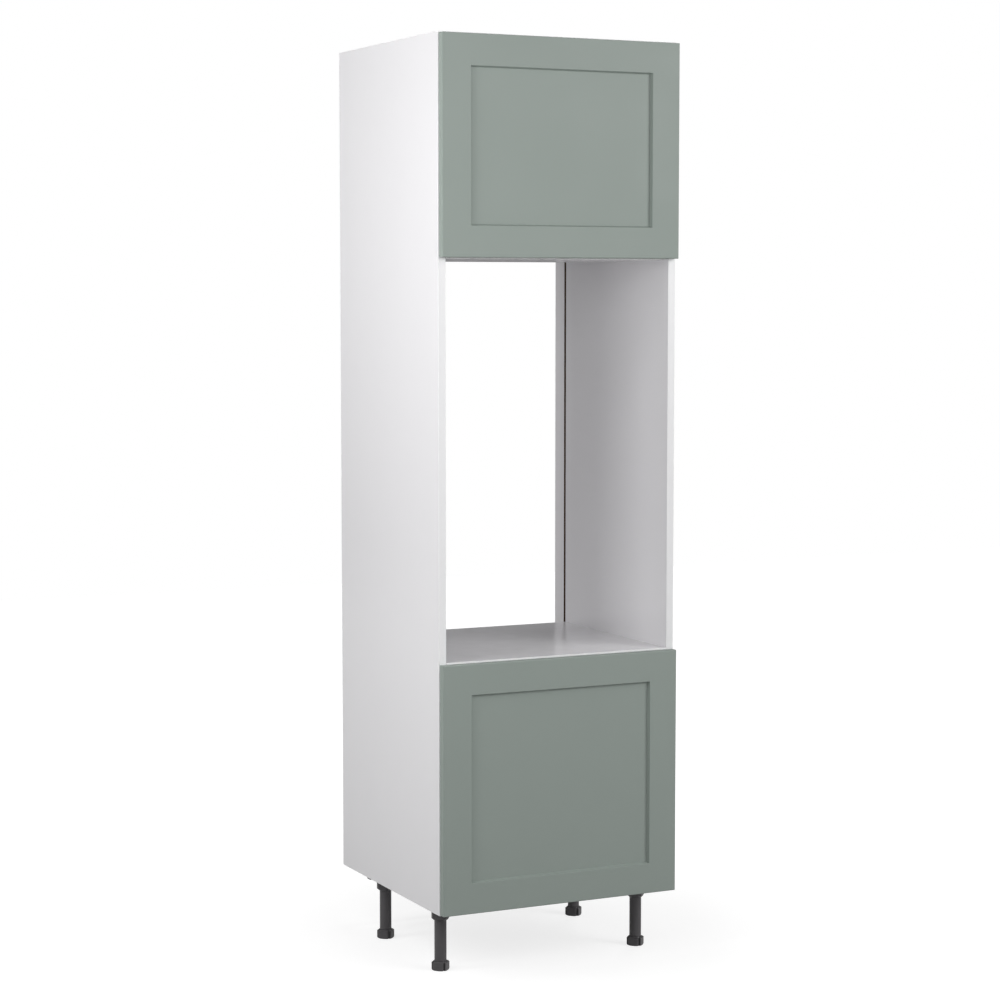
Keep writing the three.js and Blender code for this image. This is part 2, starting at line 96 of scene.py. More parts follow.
class BoardSettings(bpy.types.PropertyGroup):
    """Sizes and colours of the white boards."""

    melamine: colour("Melamine", "Face of every white board", "#f1f0f2")
    banding: colour("Edge band", "Plastic band on the front edges", "#f9f9fa")
    chipboard: colour("Chipboard", "Core of the boards, bare in grooves and rear edges", "#8f745c")
    # Darker than the chipboard, to paint the shade inside the grooves.
    groove: colour("Groove", "Core inside the back panels' grooves, darkened as painted shade", "#5c4636")
    band_radius: size("Band rounding", "Rounding of a banded edge", 0.9)
    arris: size("Arris", "Rounding of every other edge", 0.3)
    groove_clearance: size("Groove clearance", "Gap around a back panel in its groove", 0.5)
    groove_depth: size("Groove depth", "How deep the back panel's groove is", 8.0)
    pin_hole: size("Pin hole", "Diameter of a shelf pin hole", 5.4)
    pin_hole_depth: size("Pin hole depth", "How deep a shelf pin hole is", 10.0)
    pin_pitch: size("Pin pitch", "Height from one shelf pin hole to the next", 32.0)
    pin_rows: IntProperty(
        name="Pin holes", description="Holes in each column of a cupboard", default=5, min=1
    )
    cam_diameter: size("Cam", "Diameter of a cam lock's round housing", 15.0)
    cam_sink: size("Cam sink", "How far a cam lies below the board's face", 0.6)
    cam_from_end: size("Cam distance", "From a board's end to the middle of a cam", 24.0)
    cam_setback: size("Cam setback", "From a board's front or rear edge to a cam", 62.0)
    cam_bore_depth: size("Cam bore depth", "How deep the bore for a cam is", 2.4)
    cam_clearance: size("Cam clearance", "How much wider that bore is than its cam", 0.6)
    cam_slot_length: size("Cam slot length", "Length of a cam's cross slot", 7.0)
    cam_dome: size("Cam dome", "How far a cam's middle stands over its rim", 0.05)
    cam_slot_width: size("Cam slot width", "Width of a cam's cross slot", 1.5)
    cam_slot_depth: size("Cam slot depth", "Depth of a cam's cross slot", 1.2)
    wall_hole: size("Wall screw hole", "Diameter of the holes through a wall rail", 8.0)
    wall_hole_spacing: size("Wall screw spacing", "Between the two holes of a wall rail", 320.0)


class DoorSettings(bpy.types.PropertyGroup):
    """Sizes and colours of the framed doors."""

    foil: colour("Foil", "Sage green foil", "#96a09a")
    frame_width: size("Frame width", "Width of the raised frame", 70.0)
    recess_depth: size("Recess depth", "How deep the centre panel is sunk", 8.0)
    recess_slope: size("Recess slope", "How far the frame's inner side leans in", 3.0)
    recess_rounding: size("Recess rounding", "Rounding of the frame's inner edges", 0.6)
    front_radius: size("Front edge", "Rounding of the outer front edge", 2.4)
    back_radius: size("Back edge", "Rounding of the outer back edge", 0.5)
    corner_radius: size("Corner", "Rounding of the door's four corners", 1.2)
    cup_bore: size("Cup bore", "Diameter of the hole for a hinge cup", 35.4)
    cup_bore_depth: size("Cup bore depth", "How deep that hole is", 13.2)


class FittingSettings(bpy.types.PropertyGroup):
    """Sizes and colours of the hinges, pins, screws and bumpers."""

    nickel: colour("Nickel plate", "Plated steel of hinges and pins", "#c3c0ba")
    zinc: colour("Zinc", "Die-cast zinc of the cam locks", "#a3a4a6")
    clear: colour("Bumper", "Clear soft pad", "#eef1ee")
    pressed_edge: size("Pressed edge", "Rounding of the hinges' sheet edges", 0.22)
    cup_screw: size("Cup screw", "Head of the screws that hold a cup", 7.0)
    cup_screw_spacing: size("Cup screw spacing", "Between the two screws of a cup", 45.0)
    cup_screw_offset: size("Cup screw offset", "From a cup's middle to its screws' line", 9.5)
    plate_screw: size("Plate screw", "Head of the screws that hold a plate", 7.6)
    plate_screw_spacing: size("Plate screw spacing", "Between the two screws of a plate", 32.0)
    plate_sheet: size("Plate sheet", "From the side panel to a plate's face", 2.2)
    arm_screw: size("Arm screw", "Head of the adjusting screws on an arm", 6.4)
    head_height: size("Screw head", "Height of a screw head's rim", 0.8)
    head_dome: size("Head dome", "How far the head's middle stands over its rim", 0.7)
    pin_shank: size("Pin shank", "Diameter of a shelf pin", 5.0)
    pin_collar: size("Pin collar", "Diameter of a shelf pin's collar", 7.0)


class LegSettings(bpy.types.PropertyGroup):
    """Sizes and colours of the adjustable legs."""

    plastic: colour("Leg plastic", "Black moulded plastic", "#535153")
    moulded_edge: size("Moulded edge", "Rounding of the sockets' and tubes' edges", 0.6)
    bore_edge: size("Bore edge", "Rounding of the ends of a tube's bore", 0.4)
    tube_bore: size("Tube bore", "Radius of the hole through a tube", 10.0)
    flange_thickness: size("Flange", "Thickness of a socket's flange", 4.0)
    flat_distance: size("Pad flats", "From the middle of a foot to one of its flats", 18.0)
    shoulder_radius: size("Shoulder", "Radius of the flat top of a foot", 15.0)
    shoulder_rise: size("Shoulder rise", "Height of a foot's sloping top", 3.0)
    chamfer: size("Foot chamfer", "Bevel round the bottom of a foot", 1.8)
    foot_height: size("Foot height", "Height of a foot below its stem", 21.5)
    pad_rim: size("Pad rim", "Width of the flat rings inside a foot's rounded edges", 4.0)
    slot_width: size("Slot width", "Width of the four slots of a foot", 4.0)
    slot_depth: size("Slot depth", "Depth of the four slots of a foot", 4.0)
    stem_radius: size("Stem radius", "Radius of a foot's stem over its thread", 9.7)
    stem_bevel: size("Stem bevel", "Bevel round the top of a foot's stem", 1.0)
    thread_pitch: size("Thread pitch", "Rise of the stem's thread in one turn", 4.0)
    thread_ridge: size("Thread ridge", "How far the thread stands out of the stem", 0.7)
    ribs: IntProperty(
        name="Ribs", description="Gussets between a socket's sleeve and flange", default=8, min=3
    )


class StudioSettings(bpy.types.PropertyGroup):
    """The camera and the lamps."""

    camera_place: FloatVectorProperty(
        name="Camera", description="Where the camera stands", subtype="TRANSLATION",
        default=(-2.5898, -5.3196, 1.5504),
    )
    camera_turn: FloatProperty(
        name="Camera turn", description="How far the camera looks to the right of straight on",
        subtype="ANGLE", default=math.radians(25.8232),
    )
    camera_drop: FloatProperty(
        name="Camera drop", description="How far the camera looks down",
        subtype="ANGLE", default=math.radians(4.7464),
    )
    lens: FloatProperty(
        name="Lens", description="Focal length on a 36 mm sensor, in millimetres",
        default=90.117, min=1,
    )
    ambient: FloatProperty(
        name="Ambient", description="Light from all round the room", default=0.15, min=0
    )
    mirrored: FloatProperty(
        name="Mirrored room", description="Brightness of the room in glossy surfaces",
        default=0.10, min=0,
    )
    floor: colour("Floor", "Pale studio floor", "#a0a0a0")
    floor_width: FloatProperty(
        name="Floor width", description="Width and depth of the floor", default=14.0, min=1,
        unit="LENGTH",
    )
    aim_height: FloatProperty(
        name="Aim height", description="Height on the unit that the lamps point at", default=1.1,
        min=0, unit="LENGTH",
    )
    mirrored_floor: FloatProperty(
        name="Mirrored floor", description="Brightness of the floor in glossy surfaces",
        default=0.5, min=0,
    )


class HousingSettings(bpy.types.PropertyGroup):
    """Everything that a user may change."""

    boards: PointerProperty(type=BoardSettings)
    doors: PointerProperty(type=DoorSettings)
    fittings: PointerProperty(type=FittingSettings)
    legs: PointerProperty(type=LegSettings)
    studio: PointerProperty(type=StudioSettings)


# ------------------------------------------------------------------ nodes


def node(tree, kind, inputs=None, **settings):
    """Adds a node; each input takes a plain value or the socket that feeds it."""
    made = tree.nodes.new(kind)
    for name, value in settings.items():
        setattr(made, name, value)
    for name, value in (inputs or {}).items():
        if isinstance(value, bpy.types.NodeSocket):
            tree.links.new(value, made.inputs[name])
        else:
            made.inputs[name].default_value = value
    return made


def worked(tree, operation, first, second=0.0):
    """The result of a sum on two numbers or sockets."""
    return node(tree, "ShaderNodeMath", {0: first, 1: second}, operation=operation).outputs[0]


def vector_of(tree, x=0.0, y=0.0, z=0.0):
    return node(tree, "ShaderNodeCombineXYZ", {"X": x, "Y": y, "Z": z}).outputs["Vector"]


# ------------------------------------------------------------------ finishes


def rgba(values, factor=1.0):
    """A linear colour, made darker or lighter by a factor, as a node takes it."""
    return (*(value * factor for value in values), 1.0)


def place_on(tree):
    """The point on the piece, in metres, which moves and turns with it."""
    return node(tree, "ShaderNodeTexCoord").outputs["Object"]


def rubbed_and_highlit(tree, shade, amount, paler):
    """A shade that goes towards a paler one on the marked edges: a painted highlight, and wear."""
    worn_and_lit = node(tree, "ShaderNodeAttribute", attribute_name=EDGE_WEAR_AND_HIGHLIGHT).outputs["Fac"]
    # Painted highlight: the marked edges are mixed towards the paler colour.
    return mixed(tree, worked(tree, "MULTIPLY", worn_and_lit, amount), shade, rgba(linear(paler)))


def surface(tree, inputs):
    return node(tree, "ShaderNodeBsdfPrincipled", inputs)


def mixed(tree, factor, first, second):
    """A colour between two, by a factor from 0 to 1."""
    return node(
        tree, "ShaderNodeMix", {0: factor, 6: first, 7: second}, data_type="RGBA"
    ).outputs[2]


def ranged(tree, value, low, high, start=0.3, end=0.7):
    """A noise value stretched from its usual range to between low and high."""
    return node(
        tree, "ShaderNodeMapRange",
        {"Value": value, "From Min": start, "From Max": end, "To Min": low, "To Max": high},
    ).outputs["Result"]


def grain(tree, where, spacing, detail=2.0, stretch=(1, 1, 1)):
    """Noise whose spots are about this far apart, from 0 to 1."""
    spread = node(tree, "ShaderNodeMapping", {"Vector": where, "Scale": stretch})
    noise = node(
        tree, "ShaderNodeTexNoise",
        {"Vector": spread.outputs["Vector"], "Scale": 1 / spacing, "Detail": detail},
    )
    return noise.outputs["Fac"]


def relief(tree, height, depth, strength=1.0):
    return node(
        tree, "ShaderNodeBump", {"Height": height, "Distance": depth, "Strength": strength}
    ).outputs["Normal"]


def white_melamine(tree, settings):
    """Melamine-faced chipboard, pressed against a pearl-textured steel plate: a satin white
    with a very faint mottle, smooth enough to mirror what stands close to it, blurred."""
    where = place_on(tree)
    white = settings.boards.melamine
    cloud = grain(tree, where, 180 * MM)
    pearl = grain(tree, where, 0.9 * MM)
    shade = mixed(tree, cloud, rgba(white, 0.985), rgba(white))
    smears = grain(tree, where, 45 * MM, 3.0)
    return surface(tree, {
        "Base Color": shade,
        "Roughness": ranged(tree, smears, 0.205, 0.235),
        "IOR": 1.52,
        "Normal": relief(tree, pearl, 0.03 * MM, 0.35),
    })


def white_edge_band(tree, settings):
    """Edge band of solid ABS, glued, trimmed and buffed: a shade glossier than the board,
    with fine marks along it."""
    where = place_on(tree)
    buffing = grain(tree, where, 1.2 * MM, 2.0, (1, 1, 0.05))
    return surface(tree, {
        "Base Color": rgba(settings.boards.banding),
        "Roughness": ranged(tree, buffing, 0.26, 0.36),
        "IOR": 1.53,
        "Normal": relief(tree, buffing, 0.02 * MM, 0.3),
    })


def raw_chipboard(tree, settings):
    """Bare sawn core of the board: glued wood chips 1 to 4 mm long in browns, dull and open."""
    return glued_chips(tree, settings.boards.chipboard)


def groove_painted_shade(tree, settings):
    """Chipboard inside a saw groove: the same chips in a darker brown, which paints the shade
    inside the groove.
    """
    # Painted shade: the groove's darker colour stands in for the shade that falls inside it.
    return glued_chips(tree, settings.boards.groove)


def glued_chips(tree, base):
    where = place_on(tree)
    chips = node(tree, "ShaderNodeTexVoronoi", {"Vector": where, "Scale": 1 / (2.2 * MM)})
    tint = node(tree, "ShaderNodeSeparateColor", {"Color": chips.outputs["Color"]})
    dust = grain(tree, where, 0.7 * MM, 3.0)
    chip_shade = mixed(tree, tint.outputs["Red"], rgba(base, 0.62), rgba(base, 1.45))
    shade = mixed(tree, ranged(tree, dust, 0.0, 0.35), chip_shade, rgba(base, 0.4))
    return surface(tree, {
        "Base Color": shade,
        "Roughness": 0.92,
        "IOR": 1.45,
        "Normal": relief(tree, tint.outputs["Green"], 0.25 * MM, 0.6),
    })


def sage_foil(tree, settings):
    """Matt vinyl foil, vacuum-pressed over a routed board: an even sage green with the
    board's faint orange peel under a soft, wide highlight. Marked edges are painted a touch
    lighter: a painted highlight, and wear."""
    where = place_on(tree)
    sage = settings.doors.foil
    peel = grain(tree, where, 2.4 * MM, 2.0)
    skin = grain(tree, where, 0.5 * MM, 2.0)
    cloud = grain(tree, where, 120 * MM, 2.0)
    shade = mixed(tree, cloud, rgba(sage, 0.975), rgba(sage, 1.02))
    return surface(tree, {
        # Painted highlight and wear on the marked edges.
        "Base Color": rubbed_and_highlit(tree, shade, 0.16, "#b9c3bd"),
        "Roughness": ranged(tree, cloud, 0.52, 0.60),
        "IOR": 1.5,
        "Normal": relief(tree, worked(tree, "ADD", peel, skin), 0.03 * MM, 0.35),
    })


def nickel_plated_steel(tree, settings):
    """Pressed sheet steel with a bright nickel plate: a warm grey metal with fine rolling
    marks, its rounded edges painted brighter: a painted highlight, and wear."""
    where = place_on(tree)
    metal = settings.fittings.nickel
    rolling = grain(tree, where, 0.8 * MM, 3.0, (1, 0.12, 1))
    stain = grain(tree, where, 6 * MM, 2.0)
    shade = mixed(tree, stain, rgba(metal, 0.9), rgba(metal))
    return surface(tree, {
        # Painted highlight and wear on the rounded edges.
        "Base Color": rubbed_and_highlit(tree, shade, 0.5, "#e6e3de"),
        "Metallic": 1.0,
        "Roughness": ranged(tree, rolling, 0.20, 0.34),
        "Normal": relief(tree, rolling, 0.02 * MM, 0.15),
    })


def die_cast_zinc(tree, settings):
    """Die-cast zinc: a dull blue-grey metal with a slightly grainy, tumbled skin."""
    where = place_on(tree)
    metal = settings.fittings.zinc
    skin = grain(tree, where, 0.6 * MM, 3.0)
    shade = mixed(tree, skin, rgba(metal, 0.78), rgba(metal))
    return surface(tree, {
        "Base Color": shade,
        "Metallic": 1.0,
        "Roughness": ranged(tree, skin, 0.38, 0.55),
        "Normal": relief(tree, skin, 0.04 * MM, 0.5),
    })


def black_polypropylene(tree, settings):
    """Black polypropylene, moulded in a spark-eroded tool: charcoal with a fine grain, a broad
    grey sheen, and rounded edges painted paler: a painted highlight, and wear."""
    where = place_on(tree)
    black = settings.legs.plastic
    spark = grain(tree, where, 0.35 * MM, 2.0)
    flow = grain(tree, where, 14 * MM, 3.0, (1, 1, 0.3))
    shade = mixed(tree, flow, rgba(black, 0.88), rgba(black, 1.1))
    return surface(tree, {
        # Painted highlight and wear on the rounded edges.
        "Base Color": rubbed_and_highlit(tree, shade, 0.3, "#6b696a"),
        "Roughness": ranged(tree, spark, 0.30, 0.44),
        "IOR": 1.49,
        "Normal": relief(tree, spark, 0.04 * MM, 0.4),
    })


def clear_polyurethane(tree, settings):
    """Cast clear polyurethane: a soft, water-clear dome, slightly dusty."""
    where = place_on(tree)
    dust = grain(tree, where, 1.5 * MM, 3.0)
    return surface(tree, {
        "Base Color": rgba(settings.fittings.clear),
        "Transmission Weight": 0.85,
        "Roughness": ranged(tree, dust, 0.10, 0.24),
        "IOR": 1.5,
        "Normal": relief(tree, dust, 0.02 * MM, 0.3),
    })


def pale_floor(tree, settings):
    """Pale painted floor: the camera sees it white but for the soft shadow at the legs."""
    where = place_on(tree)
    paint = settings.studio.floor
    cloud = grain(tree, where, 400 * MM)
    shade = mixed(tree, cloud, rgba(paint, 0.98), rgba(paint))
    away = node(tree, "ShaderNodeVectorMath", {0: where}, operation="LENGTH").outputs["Value"]
    glow = ranged(tree, away, 0.75, 1.0, 0.5, 1.8)
    rays = node(tree, "ShaderNodeLightPath").outputs
    mirror = worked(tree, "MULTIPLY", rays["Is Glossy Ray"], settings.studio.mirrored_floor)
    seen = worked(tree, "MAXIMUM", rays["Is Camera Ray"], mirror)
    return surface(tree, {
        "Base Color": shade,
        "Roughness": 0.85,
        "Emission Color": (1, 1, 1, 1),
        "Emission Strength": worked(tree, "MULTIPLY", glow, seen),
        "Normal": relief(tree, cloud, 0.1 * MM, 0.2),
    })


FINISHES = {
    "White melamine": white_melamine,
    "White edge band": white_edge_band,
    "Raw chipboard": raw_chipboard,
    "Sawn groove": groove_painted_shade,
    "Sage foil": sage_foil,
    "Nickel-plated steel": nickel_plated_steel,
    "Die-cast zinc": die_cast_zinc,
    "Black polypropylene": black_polypropylene,
    "Clear polyurethane": clear_polyurethane,
    "Pale floor": pale_floor,
}
BOARD_FINISHES = ("White melamine", "White edge band", "Raw chipboard", "Sawn groove")
FACE, BAND, CORE, GROOVE_PAINTED_SHADE = range(4)


# ------------------------------------------------------------------ shapes


def rounded_path(points, radii, steps=4):
    """An open path through points in a plane, as complex numbers, its corners rounded."""
    path = [points[0]]
    for before, corner, after, radius in zip(points, points[1:], points[2:], radii):
        arrive = (corner - before) / abs(corner - before)
        leave = (after - corner) / abs(after - corner)
        turn = cmath.phase(leave / arrive)
        start = corner - arrive * radius * math.tan(abs(turn) / 2)
        centre = start + arrive * radius * (1j if turn > 0 else -1j)
        for step in range(steps + 1):
            path.append(centre + (start - centre) * cmath.exp(1j * turn * step / steps))
    path.append(points[-1])
    return path


def rounded_outline(corners, radii, steps=4):
    """A closed outline with rounded corners."""
    return rounded_path([corners[-1], *corners, corners[0]], radii, steps)[1:-1]


def rectangle(left, bottom, right, top):
    """Four corners, as complex numbers."""
    return [
        complex(left, bottom), complex(right, bottom), complex(right, top), complex(left, top),
    ]


def lofted(rings, hollow=False):
    """A closed solid through rings of as many points each. It has flat ends or, where it is
    hollow, the last ring joins the first."""
    solid = bmesh.new()
    loops = [[solid.verts.new(point) for point in ring] for ring in rings]
    if hollow:
        loops.append(loops[0])
    for near, far in zip(loops, loops[1:]):
        for at in range(len(near)):
            solid.faces.new((near[at - 1], near[at], far[at], far[at - 1]))
    if not hollow:
        solid.faces.new(loops[0])
        solid.faces.new(reversed(loops[-1]))
    bmesh.ops.recalc_face_normals(solid, faces=solid.faces)
    return solid


def turned(path, centre, sides=72, hollow=False):
    """A round solid about an upright axis; a path's real part is its radius."""
    around = [2 * math.pi * step / sides for step in range(sides)]
    return lofted([
        [
            (centre.x + point.real * math.cos(a), centre.y + point.real * math.sin(a), point.imag)
            for a in around
        ]
        for point in path
    ], hollow)


def softened(solid, edges, width, steps=1):
    """Rounds edges, and marks the new faces; some finishes paint these lighter, as a painted
    highlight and wear.
    """
    made = bmesh.ops.bevel(
        solid, geom=edges, offset=width, offset_type="OFFSET", segments=steps, profile=0.5,
        affect="EDGES", clamp_overlap=False,
    )
    wear_highlight_layer = solid.faces.layers.float.get(EDGE_WEAR_AND_HIGHLIGHT)
    wear_highlight_layer = wear_highlight_layer or solid.faces.layers.float.new(EDGE_WEAR_AND_HIGHLIGHT)
    for face in made["faces"]:
        if face.is_valid:
            face[wear_highlight_layer] = 1.0
    return solid


def object_of(name, mesh):
    piece = bpy.data.objects.new(name, mesh)
    bpy.context.scene.collection.objects.link(piece)
    return piece


def settled(piece):
    """Makes what a piece's modifiers give its plain mesh."""
    bpy.context.view_layer.update()
    seen = piece.evaluated_get(bpy.context.evaluated_depsgraph_get())
    made = bpy.data.meshes.new_from_object(seen)
    plain = piece.data
    piece.modifiers.clear()
    piece.data = made
    made.name = piece.name
    bpy.data.meshes.remove(plain)
    return piece


def shaded(piece, angle=38):
    """Smooth curves and crisp arrises, with flat faces kept flat."""
    piece.data.polygons.foreach_set("use_smooth", [True] * len(piece.data.polygons))
    piece.data.set_sharp_from_angle(angle=math.radians(angle))
    level = piece.modifiers.new("Flat faces", "WEIGHTED_NORMAL")
    level.keep_sharp = True
    level.weight = 100
    return settled(piece)


def built(name, solid, finishes, cutters=()):
    """A piece from a solid, with holes cut where the cutters stand."""
    mesh = bpy.data.meshes.new(name)
    solid.to_mesh(mesh)
    solid.free()
    for finish in finishes:
        mesh.materials.append(bpy.data.materials[finish])
    piece = object_of(name, mesh)
    for cutter in cutters:
        cut = piece.modifiers.new("Cut", "BOOLEAN")
        cut.operation = "DIFFERENCE"
        cut.solver = "EXACT"
        cut.material_mode = "TRANSFER"
        cut.object = cutter
        settled(piece)
        spare = cutter.data
        bpy.data.objects.remove(cutter)
        bpy.data.meshes.remove(spare)
    return shaded(piece)


def fitted(piece, body, slot, *nodes):
    """Hands a finished piece to its CAD body and hides the CAD nodes it stands for. The slot it is
    given is not used.
    """
    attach(piece, body)
    if nodes:
        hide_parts(*nodes)
    return piece


def middle(node_name):
    """The middle of a CAD node's box."""
    low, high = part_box(node_name)
    return (low + high) / 2


# ------------------------------------------------------------------ repeated shapes


def opened_tree(name, sizes):
    """A geometry tree that takes points, named sizes and a finish."""
    tree = bpy.data.node_groups.new(name, "GeometryNodeTree")
    sockets = tree.interface
    sockets.new_socket("Geometry", in_out="INPUT", socket_type="NodeSocketGeometry")
    for label, value in sizes.items():
        kind = "NodeSocketInt" if isinstance(value, int) else "NodeSocketFloat"
        sockets.new_socket(label, in_out="INPUT", socket_type=kind).default_value = value
    sockets.new_socket("Finish", in_out="INPUT", socket_type="NodeSocketMaterial")
    sockets.new_socket("Geometry", in_out="OUTPUT", socket_type="NodeSocketGeometry")
    return tree, node(tree, "NodeGroupInput").outputs


def closed_tree(tree, given, shape):
    """Stands the shape on every point, turned the way the point faces."""
    facing = node(
        tree, "GeometryNodeInputNamedAttribute", {"Name": "facing"}, data_type="FLOAT_VECTOR"
    )
    turn = node(
        tree, "FunctionNodeAlignRotationToVector", {"Vector": facing.outputs["Attribute"]},
        axis="Z",
    )
    placed = node(tree, "GeometryNodeInstanceOnPoints", {
        "Points": given["Geometry"], "Instance": shape, "Rotation": turn.outputs["Rotation"],
    })
    whole = node(tree, "GeometryNodeRealizeInstances", {"Geometry": placed.outputs["Instances"]})
    coated = node(tree, "GeometryNodeSetMaterial", {
        "Geometry": whole.outputs["Geometry"], "Material": given["Finish"],
    })
    node(tree, "NodeGroupOutput", {"Geometry": coated.outputs["Geometry"]})
    return tree


def moved(tree, shape, x=0.0, y=0.0, z=0.0):
    return node(tree, "GeometryNodeTransform", {
        "Geometry": shape, "Translation": vector_of(tree, x, y, z),
    }).outputs["Geometry"]


def disc(tree, diameter, height, sides, rings=1):
    """A round disc that stands on its point."""
    made = node(tree, "GeometryNodeMeshCylinder", {
        "Vertices": sides, "Fill Segments": rings,
        "Radius": worked(tree, "MULTIPLY", diameter, 0.5), "Depth": height,
    }, fill_type="TRIANGLE_FAN" if rings > 1 else "NGON")
    return moved(tree, made.outputs["Mesh"], z=worked(tree, "MULTIPLY", height, 0.5))


def domed_disc(tree, diameter, height, dome, sides):
    """A round disc whose top swells by the dome's height in the middle."""
    flat = disc(tree, diameter, height, sides, rings=5)
    place = node(tree, "GeometryNodeInputPosition").outputs["Position"]
    axes = node(tree, "ShaderNodeSeparateXYZ", {"Vector": place}).outputs
    across = worked(tree, "ADD", worked(tree, "POWER", axes["X"], 2.0),
                    worked(tree, "POWER", axes["Y"], 2.0))
    rim = worked(tree, "POWER", worked(tree, "MULTIPLY", diameter, 0.5), 2.0)
    share = worked(tree, "SUBTRACT", 1.0, worked(tree, "DIVIDE", across, rim))
    lift = worked(tree, "MULTIPLY", share, dome)
    top = worked(tree, "GREATER_THAN", axes["Z"], worked(tree, "MULTIPLY", height, 0.5))
    return node(tree, "GeometryNodeSetPosition", {
        "Geometry": flat, "Selection": top, "Offset": vector_of(tree, z=lift),
    }).outputs["Geometry"]


def bore_tree():
    """Round cutters that sink into the face that their point is on."""
    tree, given = opened_tree("Round bores", {"Diameter": 5 * MM, "Depth": 10 * MM, "Sides": 32})
    clear = 2 * MM
    height = worked(tree, "ADD", given["Depth"], clear)
    cutter = disc(tree, given["Diameter"], height, given["Sides"])
    sunk = moved(tree, cutter, z=worked(tree, "MULTIPLY", given["Depth"], -1.0))
    return closed_tree(tree, given, sunk)


def head_tree():
    """Round heads with a cross slot: screws and cam locks."""
    tree, given = opened_tree("Cross-slotted heads", {
        "Diameter": 7 * MM, "Height": 1 * MM, "Dome": 0.5 * MM, "Sides": 32,
        "Slot Length": 4 * MM, "Slot Width": 1 * MM, "Slot Depth": 0.8 * MM,
    })
    head = domed_disc(tree, given["Diameter"], given["Height"], given["Dome"], given["Sides"])
    top = worked(tree, "ADD", given["Height"], given["Dome"])
    deep = worked(tree, "MULTIPLY", given["Slot Depth"], 2.0)
    bars = []
    for along, across in (("Slot Length", "Slot Width"), ("Slot Width", "Slot Length")):
        span = vector_of(tree, given[along], given[across], deep)
        block = node(tree, "GeometryNodeMeshCube", {"Size": span}).outputs["Mesh"]
        bars.append(moved(tree, block, z=top))
    for block in bars:
        cut = node(tree, "GeometryNodeMeshBoolean", operation="DIFFERENCE", solver="EXACT")
        tree.links.new(head, cut.inputs["Mesh 1"])
        tree.links.new(block, cut.inputs["Mesh 2"])
        head = cut.outputs["Mesh"]
    return closed_tree(tree, given, head)


def dome_tree():
    """Plain soft domes."""
    tree, given = opened_tree("Domes", {
        "Diameter": 9 * MM, "Height": 0.6 * MM, "Dome": 0.8 * MM, "Sides": 48,
    })
    dome = domed_disc(tree, given["Diameter"], given["Height"], given["Dome"], given["Sides"])
    return closed_tree(tree, given, dome)


def pin_tree():
    """Shelf pins: a shank through the panel's face, a collar against it and a bevelled tip."""
    tree, given = opened_tree("Shelf pins", {
        "Shank": 5 * MM, "Inside": 9.8 * MM, "Reach": 8 * MM, "Collar": 7 * MM,
        "Collar Thickness": 1.5 * MM, "Gap": 0.2 * MM, "Bevel": 0.7 * MM, "Sides": 24,
    })
    body = worked(tree, "SUBTRACT", worked(tree, "ADD", given["Inside"], given["Reach"]),
                  given["Bevel"])
    shank = moved(tree, disc(tree, given["Shank"], body, given["Sides"]),
                  z=worked(tree, "MULTIPLY", given["Inside"], -1.0))
    inset = 0.02 * MM  # the tip starts this far inside the shank, so that no two caps meet
    wide = worked(tree, "SUBTRACT", worked(tree, "MULTIPLY", given["Shank"], 0.5), inset)
    tip_length = worked(tree, "ADD", given["Bevel"], inset)
    tip = node(tree, "GeometryNodeMeshCone", {
        "Vertices": given["Sides"], "Radius Bottom": wide,
        "Radius Top": worked(tree, "SUBTRACT", wide, given["Bevel"]), "Depth": tip_length,
    }).outputs["Mesh"]
    tip = moved(tree, tip, z=worked(tree, "SUBTRACT", given["Reach"], tip_length))
    collar = moved(tree, disc(tree, given["Collar"], given["Collar Thickness"], given["Sides"]),
                   z=given["Gap"])
    pin = node(tree, "GeometryNodeJoinGeometry")
    for shape in (shank, tip, collar):
        tree.links.new(shape, pin.inputs["Geometry"])
    return closed_tree(tree, given, pin.outputs["Geometry"])


def gusset_tree():
    """Three-cornered gussets round a sleeve, under its flange."""
    tree, given = opened_tree("Gussets", {
        "Count": 8, "Start": 19 * MM, "Length": 10 * MM, "Height": 14 * MM,
        "Thickness": 1.8 * MM,
    })
    block = node(tree, "GeometryNodeMeshCube", {
        "Size": vector_of(tree, given["Length"], given["Thickness"], given["Height"]),
    }).outputs["Mesh"]
    place = node(tree, "GeometryNodeInputPosition").outputs["Position"]
    axes = node(tree, "ShaderNodeSeparateXYZ", {"Vector": place}).outputs
    outer_foot = worked(tree, "MULTIPLY", worked(tree, "GREATER_THAN", axes["X"], 0.0),
                        worked(tree, "LESS_THAN", axes["Z"], 0.0))
    rise = vector_of(tree, z=worked(tree, "MULTIPLY", given["Height"], 0.85))
    gusset = node(tree, "GeometryNodeSetPosition", {
        "Geometry": block, "Selection": outer_foot, "Offset": rise,
    }).outputs["Geometry"]
    gusset = moved(tree, gusset, z=worked(tree, "MULTIPLY", given["Height"], -0.5))
    half = worked(tree, "MULTIPLY", given["Length"], 0.5)
    ring = node(tree, "GeometryNodeMeshCircle", {
        "Vertices": given["Count"], "Radius": worked(tree, "ADD", given["Start"], half),
    }).outputs["Mesh"]
    outward = node(tree, "GeometryNodeInputPosition").outputs["Position"]
    turn = node(tree, "FunctionNodeAlignRotationToVector", {"Vector": outward}, axis="X")
    star = node(tree, "GeometryNodeInstanceOnPoints", {
        "Points": ring, "Instance": gusset, "Rotation": turn.outputs["Rotation"],
    }).outputs["Instances"]
    half_step = worked(tree, "DIVIDE", math.pi, given["Count"])
    star = node(tree, "GeometryNodeTransform", {
        "Geometry": star, "Rotation": vector_of(tree, z=half_step),
    }).outputs["Geometry"]
    return closed_tree(tree, given, star)


